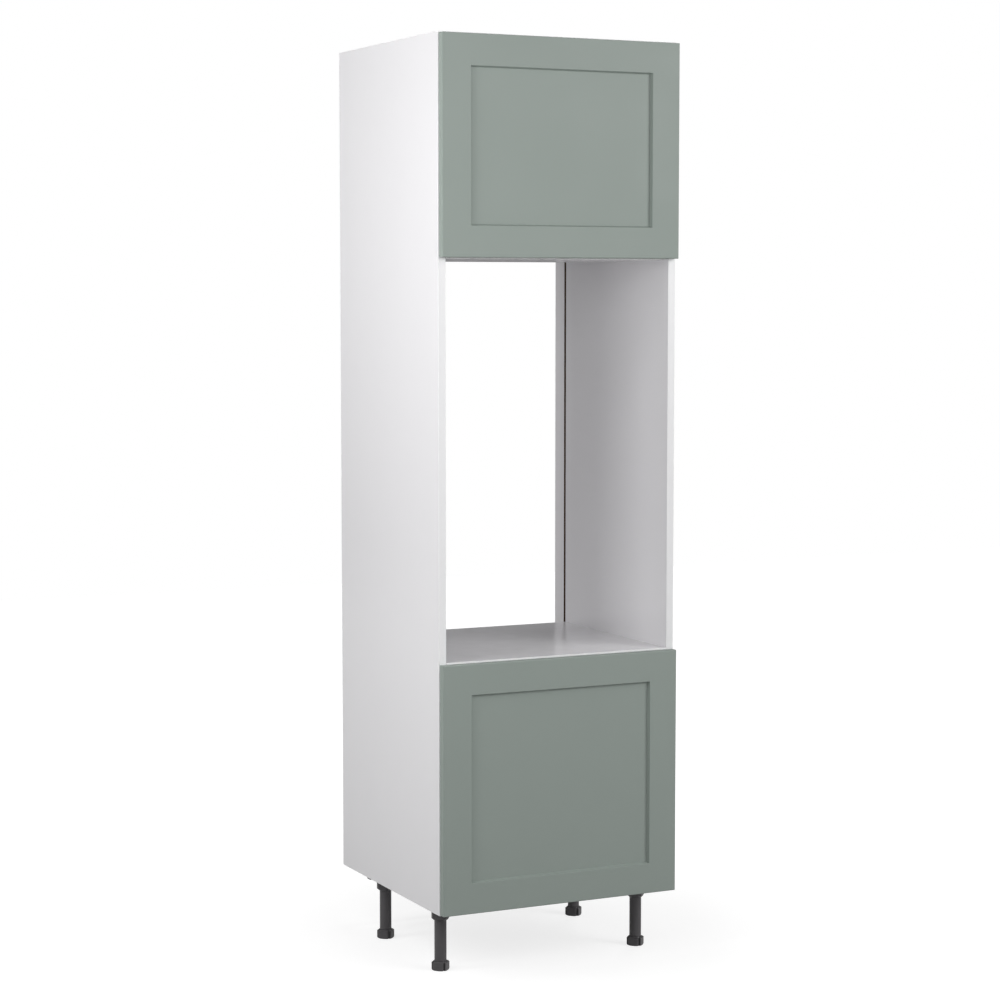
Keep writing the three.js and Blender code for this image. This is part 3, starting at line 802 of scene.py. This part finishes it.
def thread_tree():
    """A round ridge that winds up a stem."""
    tree, given = opened_tree("Threads", {
        "Radius": 9 * MM, "Ridge": 0.7 * MM, "Pitch": 4 * MM, "Turns": 18.0, "Steps": 28,
    })
    helix = node(tree, "GeometryNodeCurveSpiral", {
        "Resolution": given["Steps"], "Rotations": given["Turns"],
        "Start Radius": given["Radius"], "End Radius": given["Radius"],
        "Height": worked(tree, "MULTIPLY", given["Pitch"], given["Turns"]),
    }).outputs["Curve"]
    section = node(tree, "GeometryNodeCurvePrimitiveCircle", {
        "Resolution": 6, "Radius": given["Ridge"],
    }).outputs["Curve"]
    ridge = node(tree, "GeometryNodeCurveToMesh", {
        "Curve": helix, "Profile Curve": section, "Fill Caps": True,
    }).outputs["Mesh"]
    return closed_tree(tree, given, ridge)


TREES = {
    "bores": bore_tree,
    "heads": head_tree,
    "domes": dome_tree,
    "pins": pin_tree,
    "gussets": gusset_tree,
    "threads": thread_tree,
}


def repeated(name, kind, places, finish, sizes):
    """One plain mesh of a repeated shape; each place is a point and the way it faces."""
    mesh = bpy.data.meshes.new(name)
    mesh.from_pydata([point for point, _ in places], [], [])
    facing = mesh.attributes.new("facing", "FLOAT_VECTOR", "POINT")
    for entry, (_, way) in zip(facing.data, places):
        entry.vector = way
    piece = object_of(name, mesh)
    tree = bpy.data.node_groups.get(kind)
    if tree is None:
        tree = TREES[kind]()
        tree.name = kind
    shape = piece.modifiers.new("Shape", "NODES")
    shape.node_group = tree
    given = {"Finish": bpy.data.materials[finish], **sizes}
    for socket in tree.interface.items_tree:
        if socket.in_out == "INPUT" and socket.name in given:
            shape[socket.identifier] = given.pop(socket.name)
    if given:
        raise ValueError(f"the tree {kind} has no input named {sorted(given)}")
    settled(piece)
    left = piece.data.attributes.get("facing")
    if left:
        piece.data.attributes.remove(left)
    return piece


# ------------------------------------------------------------------ boards


def board_along(axis, outline, start, end, arris):
    """A board with this outline across the X or Z axis; its end edges are eased."""
    def at(point, along):
        if axis == "X":
            return (along, point.real, point.imag)
        return (point.real, point.imag, along)

    solid = lofted([[at(point, along) for point in outline] for along in (start, end)])
    along = 0 if axis == "X" else 2
    rims = [
        edge for edge in solid.edges
        if abs(edge.verts[0].co[along] - edge.verts[1].co[along]) < arris / 10
    ]
    return softened(solid, rims, arris)


def lying_board(low, high, band, arris):
    """A level board with its front edge rounded like a band."""
    outline = rounded_outline(
        rectangle(low.y, low.z, high.y, high.z), [band, arris, arris, band]
    )
    solid = board_along("X", outline, low.x, high.x, arris)
    for face in solid.faces:
        forward = face.normal.y < -0.3
        level = abs(face.normal.z) > 0.5
        face.material_index = BAND if forward else FACE if level else CORE
    return solid


def cam_places(node_name, upward):
    """Where a fixed board's cam locks lie: three at each end, on one face."""
    low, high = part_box(node_name)
    boards = bpy.context.scene.oven_housing.boards
    z = high.z if upward else low.z
    front, rear = low.y + boards.cam_setback, high.y - boards.cam_setback
    return [
        (Vector((x, y, z)), (0, 0, 1 if upward else -1))
        for x in (low.x + boards.cam_from_end, high.x - boards.cam_from_end)
        for y in (front, (front + rear) / 2, rear)
    ]


class HOUSING_OT_finishes(bpy.types.Operator):
    """Make the finishes of every board, door, fitting and leg"""

    bl_idname = "oven_housing.finishes"
    bl_label = "Finishes"

    def execute(self, context):
        for name, make_shader in FINISHES.items():
            finish = bpy.data.materials.new(name)
            finish.use_nodes = True
            finish.node_tree.nodes.clear()
            shader = make_shader(finish.node_tree, context.scene.oven_housing)
            node(finish.node_tree, "ShaderNodeOutputMaterial", {"Surface": shader.outputs[0]})
        return {"FINISHED"}


class HOUSING_OT_side_panels(bpy.types.Operator):
    """Make the two side panels, with the back panels' groove and the shelf pin holes"""

    bl_idname = "oven_housing.side_panels"
    bl_label = "Side panels"

    def execute(self, context):
        boards = context.scene.oven_housing.boards
        back_low, back_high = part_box("upper_back_panel")
        groove_front = back_low.y - boards.groove_clearance
        groove_rear = back_high.y + boards.groove_clearance
        for side_name, side in SIDES.items():
            name = f"side_panel_{side_name}"
            low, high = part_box(name)
            inner = low.x if side > 0 else high.x
            outer = high.x if side > 0 else low.x
            floor = inner + side * boards.groove_depth
            outline = rounded_outline(
                [
                    complex(inner, low.y), complex(outer, low.y), complex(outer, high.y),
                    complex(inner, high.y), complex(inner, groove_rear),
                    complex(floor, groove_rear), complex(floor, groove_front),
                    complex(inner, groove_front),
                ],
                [boards.band_radius] * 2 + [boards.arris] * 6,
            )
            solid = board_along("Z", outline, low.z, high.z, boards.arris)
            for face in solid.faces:
                centre = face.calc_center_median()
                at_groove = groove_front - boards.arris < centre.y < groove_rear + boards.arris
                sunk = side * (centre.x - inner) > 0.01 * MM
                forward = face.normal.y < -0.3 and centre.y < low.y + 2 * boards.band_radius
                if forward or abs(face.normal.z) > 0.3:
                    face.material_index = BAND
                elif at_groove and sunk:
                    # Faces inside the groove take the darker groove finish, which paints its
                    # shade.
                    face.material_index = GROOVE_PAINTED_SHADE
                else:
                    face.material_index = FACE if abs(face.normal.x) > 0.9 else CORE
            places = []
            for level in LEVELS:
                for column in ("front", "rear"):
                    pin = middle(f"{level}_shelf_pin_{column}_{side_name}")
                    for step in range(boards.pin_rows):
                        rise = (step - (boards.pin_rows - 1) / 2) * boards.pin_pitch
                        places.append((Vector((inner, pin.y, pin.z + rise)), (-side, 0, 0)))
            bores = repeated(
                f"{name}_bores", "bores", places, "Raw chipboard",
                {"Diameter": boards.pin_hole, "Depth": boards.pin_hole_depth, "Sides": 24},
            )
            panel = built(f"{name}_board", solid, BOARD_FINISHES, [bores])
            fitted(panel, "carcass", "white_melamine", name)
        return {"FINISHED"}


class HOUSING_OT_fixed_boards(bpy.types.Operator):
    """Make the base, the two fixed shelves and the top, with their cam locks"""

    bl_idname = "oven_housing.fixed_boards"
    bl_label = "Base, fixed shelves and top"

    def execute(self, context):
        boards = context.scene.oven_housing.boards
        cams = []
        for name, upward in (
            ("base_panel", True), ("oven_shelf", False), ("middle_shelf", True),
            ("top_panel", True),
        ):
            places = cam_places(name, upward)
            solid = lying_board(*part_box(name), boards.band_radius, boards.arris)
            bores = repeated(
                f"{name}_bores", "bores", places, "Raw chipboard",
                {"Diameter": boards.cam_diameter, "Depth": boards.cam_bore_depth, "Sides": 40},
            )
            board = built(f"{name}_board", solid, BOARD_FINISHES, [bores])
            fitted(board, "carcass", "white_melamine", name)
            cams += [
                (point - boards.cam_bore_depth * Vector(way), way) for point, way in places
            ]
        locks = repeated("cam_locks", "heads", cams, "Die-cast zinc", {
            "Diameter": boards.cam_diameter - boards.cam_clearance,
            "Height": boards.cam_bore_depth - boards.cam_sink, "Dome": boards.cam_dome,
            "Sides": 36,
            "Slot Length": boards.cam_slot_length, "Slot Width": boards.cam_slot_width,
            "Slot Depth": boards.cam_slot_depth,
        })
        fitted(shaded(locks), "carcass", "nickel_steel")
        return {"FINISHED"}


class HOUSING_OT_loose_shelves(bpy.types.Operator):
    """Make the loose shelf of each cupboard and the pins that carry it"""

    bl_idname = "oven_housing.loose_shelves"
    bl_label = "Loose shelves and pins"

    def execute(self, context):
        boards = context.scene.oven_housing.boards
        fittings = context.scene.oven_housing.fittings
        places = []
        nodes = []
        for level in LEVELS:
            name = f"{level}_loose_shelf"
            solid = lying_board(*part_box(name), boards.band_radius, boards.arris)
            for face in solid.faces:
                if face.material_index == CORE:
                    face.material_index = BAND
            shelf = built(f"{name}_board", solid, BOARD_FINISHES)
            fitted(shelf, "carcass", "white_melamine", name)
            for side_name, side in SIDES.items():
                low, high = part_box(f"side_panel_{side_name}")
                face_x = low.x if side > 0 else high.x
                for column in ("front", "rear"):
                    pin = f"{level}_shelf_pin_{column}_{side_name}"
                    centre = middle(pin)
                    places.append((Vector((face_x, centre.y, centre.z)), (-side, 0, 0)))
                    nodes.append(pin)
        low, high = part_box(nodes[0])
        inside = places[0][0].x - low.x
        pins = repeated("shelf_pins", "pins", places, "Nickel-plated steel", {
            "Shank": fittings.pin_shank, "Collar": fittings.pin_collar, "Inside": inside,
            "Reach": high.x - places[0][0].x,
        })
        fitted(shaded(pins), "carcass", "nickel_steel", *nodes)
        return {"FINISHED"}


class HOUSING_OT_backs(bpy.types.Operator):
    """Make the back panels and the wall rails behind them"""

    bl_idname = "oven_housing.backs"
    bl_label = "Back panels and wall rails"

    def execute(self, context):
        boards = context.scene.oven_housing.boards
        for level in LEVELS:
            for kind in ("back_panel", "wall_rail"):
                name = f"{level}_{kind}"
                low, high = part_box(name)
                outline = rounded_outline(
                    rectangle(low.x, low.y, high.x, high.y), [boards.arris] * 4, 2
                )
                solid = board_along("Z", outline, low.z, high.z, boards.arris)
                for face in solid.faces:
                    face.material_index = FACE if abs(face.normal.y) > 0.9 else CORE
                cutters = []
                if kind == "wall_rail":
                    half = boards.wall_hole_spacing / 2
                    centre = (low + high) / 2
                    places = [
                        (Vector((x, high.y, centre.z)), (0, 1, 0)) for x in (-half, half)
                    ]
                    cutters = [repeated(f"{name}_bores", "bores", places, "Raw chipboard", {
                        "Diameter": boards.wall_hole, "Depth": high.y - low.y + 2 * MM,
                    })]
                panel = built(f"{name}_board", solid, BOARD_FINISHES, cutters)
                fitted(panel, "carcass", "white_melamine", name)
        return {"FINISHED"}


# ------------------------------------------------------------------ doors


class HOUSING_OT_doors(bpy.types.Operator):
    """Make the two framed doors and the soft bumpers on their free edges"""

    bl_idname = "oven_housing.doors"
    bl_label = "Doors and bumpers"

    def execute(self, context):
        doors = context.scene.oven_housing.doors
        for level in LEVELS:
            name = f"{level}_door"
            low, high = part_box(name)
            solid = self.framed(low, high, doors)
            places = []
            for end in ENDS:
                cup = middle(f"{name}_hinge_cup_{end}")
                places.append((Vector((cup.x, high.y, cup.z)), (0, 1, 0)))
            bores = repeated(f"{name}_bores", "bores", places, "Raw chipboard", {
                "Diameter": doors.cup_bore, "Depth": doors.cup_bore_depth, "Sides": 64,
            })
            board = built(f"{name}_leaf", solid, ["Sage foil", "Raw chipboard"], [bores])
            fitted(board, name, "sage_door", name)
            self.bumpers(name)
        return {"FINISHED"}

    def framed(self, low, high, doors):
        """A door as rings from its back face round its edge, over its frame and into its
        sunk panel. A path's real part is the inset from the outer edge, its imaginary part Y."""
        frame_edge = doors.frame_width
        panel_edge = frame_edge + doors.recess_slope
        panel_y = low.y + doors.recess_depth
        path = rounded_path(
            [
                complex(4 * MM, high.y), complex(0, high.y), complex(0, low.y),
                complex(frame_edge, low.y), complex(panel_edge, panel_y),
                complex(panel_edge + 6 * MM, panel_y),
            ],
            [doors.back_radius, doors.front_radius] + [doors.recess_rounding] * 2,
            6,
        )
        rings = []
        for point in path:
            inset = point.real
            outer = inset < frame_edge / 2
            radius = max(doors.corner_radius - inset, 0.1 * MM) if outer else 0.4 * MM
            corners = rectangle(
                low.x + inset, low.z + inset, high.x - inset, high.z - inset
            )
            outline = rounded_outline(corners, [radius] * 4)
            rings.append([(place.real, point.imag, place.imag) for place in outline])
        return lofted(rings)

    def bumpers(self, name):
        nodes = [f"{name}_bumper_{end}" for end in ENDS]
        low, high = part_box(nodes[0])
        height = high.y - low.y
        places = []
        for bumper in nodes:
            centre = middle(bumper)
            places.append((Vector((centre.x, low.y, centre.z)), (0, 1, 0)))
        pads = repeated(f"{name}_bumpers", "domes", places, "Clear polyurethane", {
            "Diameter": high.x - low.x, "Height": 0.5 * height, "Dome": 0.5 * height,
        })
        fitted(shaded(pads), name, "clear_bumper", *nodes)


# ------------------------------------------------------------------ hinges


def eased_copy(node_name, width, finish, angle=35):
    """A CAD node's own shape with its sharp edges rounded."""
    solid = bmesh.new()
    solid.from_mesh(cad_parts[node_name].data)
    bmesh.ops.remove_doubles(solid, verts=solid.verts, dist=0.01 * MM)
    bmesh.ops.dissolve_limit(
        solid, angle_limit=math.radians(1), verts=solid.verts, edges=solid.edges
    )
    sharp = [
        edge for edge in solid.edges
        if edge.is_manifold and edge.calc_face_angle() > math.radians(angle)
    ]
    softened(solid, sharp, width, 2)
    for face in solid.faces:
        face.material_index = 0
    return built(f"{node_name}_eased", solid, [finish])


class HOUSING_OT_hinges(bpy.types.Operator):
    """Make the cup hinges, with their screws"""

    ARM_SCREWS_AT = (0.46, 0.86)  # shares of an arm's length, from its front end
    bl_idname = "oven_housing.hinges"
    bl_label = "Cup hinges"

    def execute(self, context):
        fittings = context.scene.oven_housing.fittings
        arm_screws = []
        plate_screws = []
        for level in LEVELS:
            cup_screws = []
            for end in ENDS:
                for part, body in (
                    ("cup", f"{level}_door"), ("link", f"{level}_hinge_links"),
                    ("arm", "carcass"), ("plate", "carcass"),
                ):
                    name = f"{level}_door_hinge_{part}_{end}"
                    piece = eased_copy(name, fittings.pressed_edge, "Nickel-plated steel")
                    fitted(piece, body, "nickel_steel", name)
                cup_screws += self.cup_screws(f"{level}_door_hinge_cup_{end}", fittings)
                plate_screws += self.plate_screws(f"{level}_door_hinge_plate_{end}", fittings)
                arm_screws += self.arm_screws(f"{level}_door_hinge_arm_{end}")
            self.heads(f"{level}_cup_screws", f"{level}_door", cup_screws, fittings.cup_screw)
        self.heads("plate_screws", "carcass", plate_screws, fittings.plate_screw)
        self.heads("arm_screws", "carcass", arm_screws, fittings.arm_screw)
        return {"FINISHED"}

    def cup_screws(self, name, fittings):
        low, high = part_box(name)
        centre = (low + high) / 2
        line = centre.x - fittings.cup_screw_offset
        half = fittings.cup_screw_spacing / 2
        return [
            (Vector((line, high.y, centre.z + rise)), (0, 1, 0))
            for rise in (-half, half)
        ]

    def plate_screws(self, name, fittings):
        low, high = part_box(name)
        panel_low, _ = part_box("side_panel_right")
        plate_face = panel_low.x - fittings.plate_sheet
        centre = (low + high) / 2
        half = fittings.plate_screw_spacing / 2
        return [
            (Vector((plate_face, centre.y, centre.z + rise)), (-1, 0, 0))
            for rise in (-half, half)
        ]

    def arm_screws(self, name):
        low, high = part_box(name)
        centre = (low + high) / 2
        length = high.y - low.y
        return [
            (Vector((low.x, low.y + share * length, centre.z)), (-1, 0, 0))
            for share in self.ARM_SCREWS_AT
        ]

    def heads(self, name, body, places, diameter):
        fittings = bpy.context.scene.oven_housing.fittings
        screws = repeated(name, "heads", places, "Nickel-plated steel", {
            "Diameter": diameter, "Height": fittings.head_height, "Dome": fittings.head_dome,
            "Slot Length": 0.6 * diameter, "Slot Width": 0.14 * diameter,
            "Slot Depth": 0.16 * diameter, "Sides": 28,
        })
        fitted(shaded(screws), body, "nickel_steel")


# ------------------------------------------------------------------ legs


class HOUSING_OT_legs(bpy.types.Operator):
    """Make the leg sockets, their tubes and their adjustable feet"""

    bl_idname = "oven_housing.legs"
    bl_label = "Legs"

    def execute(self, context):
        legs = context.scene.oven_housing.legs
        gussets = []
        for place in LEG_PLACES:
            socket_name = f"leg_socket_{place}"
            socket = eased_copy(socket_name, legs.moulded_edge, "Black polypropylene")
            fitted(socket, "carcass", "leg_plastic", socket_name)
            foot_centre = middle(f"leg_foot_{place}")
            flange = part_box(socket_name)[1].z - legs.flange_thickness
            gussets.append((Vector((foot_centre.x, foot_centre.y, flange)), (0, 0, 1)))
            self.tube(place, legs)
            self.foot(place, legs)
        ribs = repeated("leg_socket_gussets", "gussets", gussets, "Black polypropylene", {
            "Count": legs.ribs,
        })
        fitted(shaded(ribs), "carcass", "leg_plastic")
        return {"FINISHED"}

    def tube(self, place, legs):
        name = f"leg_tube_{place}"
        low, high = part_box(name)
        centre = (low + high) / 2
        outer = (high.x - low.x) / 2
        inner_edge, outer_edge = legs.bore_edge, legs.moulded_edge
        path = rounded_outline(
            rectangle(legs.tube_bore, low.z, outer, high.z),
            [inner_edge, outer_edge, outer_edge, inner_edge],
        )
        solid = turned(path, centre, hollow=True)
        piece = built(f"{name}_sleeve", solid, ["Black polypropylene"])
        fitted(piece, "carcass", "leg_plastic", name)

    def foot(self, place, legs):
        name = f"leg_foot_{place}"
        low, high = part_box(name)
        centre = (low + high) / 2
        radius = (high.x - low.x) / 2
        outline = self.pad_outline(radius, legs)
        shoulder = legs.foot_height - legs.shoulder_rise
        path = rounded_path(
            [
                complex(radius - legs.chamfer - legs.pad_rim, low.z),
                complex(radius - legs.chamfer, low.z), complex(radius, low.z + legs.chamfer),
                complex(radius, low.z + shoulder),
                complex(legs.shoulder_radius, low.z + legs.foot_height),
                complex(legs.shoulder_radius - legs.pad_rim, low.z + legs.foot_height),
            ],
            [2 * MM, 2 * MM, 0.8 * MM, 0.8 * MM],
            3,
        )
        rings = []
        for point in path:
            ring = []
            for corner in outline:
                held = corner * min(1.0, point.real / abs(corner))
                ring.append((centre.x + held.real, centre.y + held.imag, point.imag))
            rings.append(ring)
        pad = built(f"{name}_pad", lofted(rings), ["Black polypropylene"])
        fitted(pad, f"foot_{place}", "leg_plastic", name)
        self.stem(place, centre, low.z + legs.foot_height, high.z, legs)

    def pad_outline(self, radius, legs):
        """A round outline with a flat on each diagonal and a slot between flats."""
        half_slot = legs.slot_width / 2
        slot_angle = math.asin(half_slot / radius)
        flat_angle = math.pi / 4 - math.acos(legs.flat_distance / radius)
        outline = []
        for quarter in range(4):
            turn = cmath.exp(0.5j * math.pi * quarter)
            deep = radius - legs.slot_depth
            corners = [complex(deep, -half_slot), complex(deep, half_slot)]
            arc = [
                cmath.rect(radius, slot_angle + (flat_angle - slot_angle) * step / 5)
                for step in range(6)
            ]
            flat_end = [
                cmath.rect(radius, math.pi / 2 - flat_angle + (flat_angle - slot_angle) * step / 5)
                for step in range(6)
            ]
            flat = [arc[-1] + (flat_end[0] - arc[-1]) * step / 6 for step in range(1, 6)]
            outline += [corner * turn for corner in [*corners, *arc, *flat, *flat_end]]
        return outline

    def stem(self, place, centre, bottom, top, legs):
        """A foot's stem, set 2 mm into its pad, and the thread round it."""
        radius = legs.stem_radius - legs.thread_ridge
        bevel = legs.stem_bevel
        path = [
            complex(radius, bottom - 2 * MM), complex(radius, top - bevel),
            complex(radius - bevel, top),
        ]
        core = built(f"leg_foot_{place}_stem", turned(path, centre, 48), ["Black polypropylene"])
        fitted(core, f"foot_{place}", "leg_plastic")
        turns = int((top - bottom - 4 * MM) / legs.thread_pitch)
        start = Vector((centre.x, centre.y, bottom + 1.5 * MM))
        ridge = legs.thread_ridge
        thread = repeated(f"leg_foot_{place}_thread", "threads", [(start, (0, 0, 1))],
                          "Black polypropylene", {
            "Radius": radius, "Ridge": ridge, "Pitch": legs.thread_pitch, "Turns": float(turns),
        })
        fitted(shaded(thread), f"foot_{place}", "leg_plastic")


# ------------------------------------------------------------------ studio

# Soft boxes: name, place, width, height and power in watts. All point at the unit's middle.
# Those named in UNMIRRORED stand so close to the unit's side that their reflection would clip.
UNMIRRORED = ("Near left light", "Front left light")
LAMPS = (
    ("Left light", (-2.4, 0.2, 2.2), 0.8, 1.4, 22.0),
    ("Far left light", (-3.2, 0.8, 1.6), 1.2, 2.0, 7.0),
    ("Near left light", (-1.5, -0.75, 1.7), 0.5, 1.6, 9.5),
    ("Front left light", (-1.5, -1.9, 1.9), 0.8, 0.8, 10.0),
    ("Front light", (1.5, -3.8, 2.4), 1.2, 1.2, 12.0),
    ("Right front light", (3.5, -4.0, 2.5), 2.5, 2.5, 100.0),
    ("High right light", (2.6, -3.0, 3.6), 1.6, 1.6, 30.0),
    ("Rear left light", (-3.5, 3.5, 2.5), 2.5, 2.5, 6.0),
    ("Rear light", (0.0, 4.5, 2.5), 2.5, 2.5, 8.0),
    ("Rear right light", (3.0, 3.2, 2.6), 1.6, 1.6, 20.0),
    ("Top light", (0.0, 0.4, 4.6), 0.6, 0.6, 22.0),
)


class HOUSING_OT_studio(bpy.types.Operator):
    """Make the floor, the lamps, the world and the camera"""

    bl_idname = "oven_housing.studio"
    bl_label = "Studio"

    def execute(self, context):
        studio = context.scene.oven_housing.studio
        self.floor(studio.floor_width / 2)
        self.world(context.scene, studio)
        for name, place, width, height, power in LAMPS:
            self.lamp(name, Vector(place), width, height, power, studio.aim_height)
        self.camera(context.scene, studio)
        context.scene.view_settings.view_transform = "Standard"
        return {"FINISHED"}

    def floor(self, half):
        mesh = bpy.data.meshes.new("floor")
        mesh.from_pydata(
            [(-half, -half, 0), (half, -half, 0), (half, half, 0), (-half, half, 0)], [],
            [(0, 1, 2, 3)],
        )
        mesh.materials.append(bpy.data.materials["Pale floor"])
        object_of("floor", mesh)

    def world(self, scene, studio):
        """An even pale room, white behind the object and through clear plastic."""
        scene.world = bpy.data.worlds.new("Pale room")
        scene.world.use_nodes = True
        tree = scene.world.node_tree
        tree.nodes.clear()
        rays = node(tree, "ShaderNodeLightPath").outputs
        seen = worked(tree, "MAXIMUM", rays["Is Camera Ray"], rays["Is Transmission Ray"])
        dimmed = worked(
            tree, "MULTIPLY", rays["Is Glossy Ray"], studio.mirrored - studio.ambient
        )
        around = worked(tree, "ADD", dimmed, studio.ambient)
        room = node(tree, "ShaderNodeBackground", {
            "Color": (1, 1, 1, 1), "Strength": worked(tree, "MAXIMUM", seen, around),
        })
        node(tree, "ShaderNodeOutputWorld", {"Surface": room.outputs[0]})

    def lamp(self, name, place, width, height, power, aim_height):
        light = bpy.data.lights.new(name, "AREA")
        light.shape = "RECTANGLE"
        light.size = width
        light.size_y = height
        light.energy = power
        lamp = object_of(name, light)
        lamp.location = place
        lamp.visible_camera = False
        lamp.visible_glossy = name not in UNMIRRORED
        aim = Vector((0, 0, aim_height)) - place
        lamp.rotation_euler = aim.to_track_quat("-Z", "Y").to_euler()

    def camera(self, scene, studio):
        lens = bpy.data.cameras.new("Camera")
        lens.sensor_width = 36
        lens.lens = studio.lens
        camera = object_of("Camera", lens)
        camera.location = studio.camera_place
        camera.rotation_euler = (math.pi / 2 - studio.camera_drop, 0, -studio.camera_turn)
        scene.camera = camera


# ------------------------------------------------------------------ add-on

STEPS = (
    HOUSING_OT_finishes,
    HOUSING_OT_side_panels,
    HOUSING_OT_fixed_boards,
    HOUSING_OT_loose_shelves,
    HOUSING_OT_backs,
    HOUSING_OT_doors,
    HOUSING_OT_hinges,
    HOUSING_OT_legs,
    HOUSING_OT_studio,
)


class HOUSING_PT_panel(bpy.types.Panel):
    """The steps that build the oven housing, and the values they use"""

    bl_idname = "HOUSING_PT_panel"
    bl_label = "Oven housing"
    bl_space_type = "VIEW_3D"
    bl_region_type = "UI"
    bl_category = "Oven housing"

    def draw(self, context):
        for step in STEPS:
            self.layout.operator(step.bl_idname)
        settings = context.scene.oven_housing
        for group_name in ("boards", "doors", "fittings", "legs", "studio"):
            group = getattr(settings, group_name)
            box = self.layout.box()
            box.label(text=group_name.capitalize())
            for value_name in group.__annotations__:
                box.prop(group, value_name)


CLASSES = (
    BoardSettings, DoorSettings, FittingSettings, LegSettings, StudioSettings, HousingSettings,
    *STEPS, HOUSING_PT_panel,
)


def register():
    for kind in CLASSES:
        bpy.utils.register_class(kind)
    bpy.types.Scene.oven_housing = PointerProperty(type=HousingSettings)


def unregister():
    del bpy.types.Scene.oven_housing
    for kind in reversed(CLASSES):
        bpy.utils.unregister_class(kind)


def main():
    register()
    for step in STEPS:
        name = step.bl_idname.split(".")[1]
        getattr(bpy.ops.oven_housing, name)()


if __name__ == "__main__":
    main()
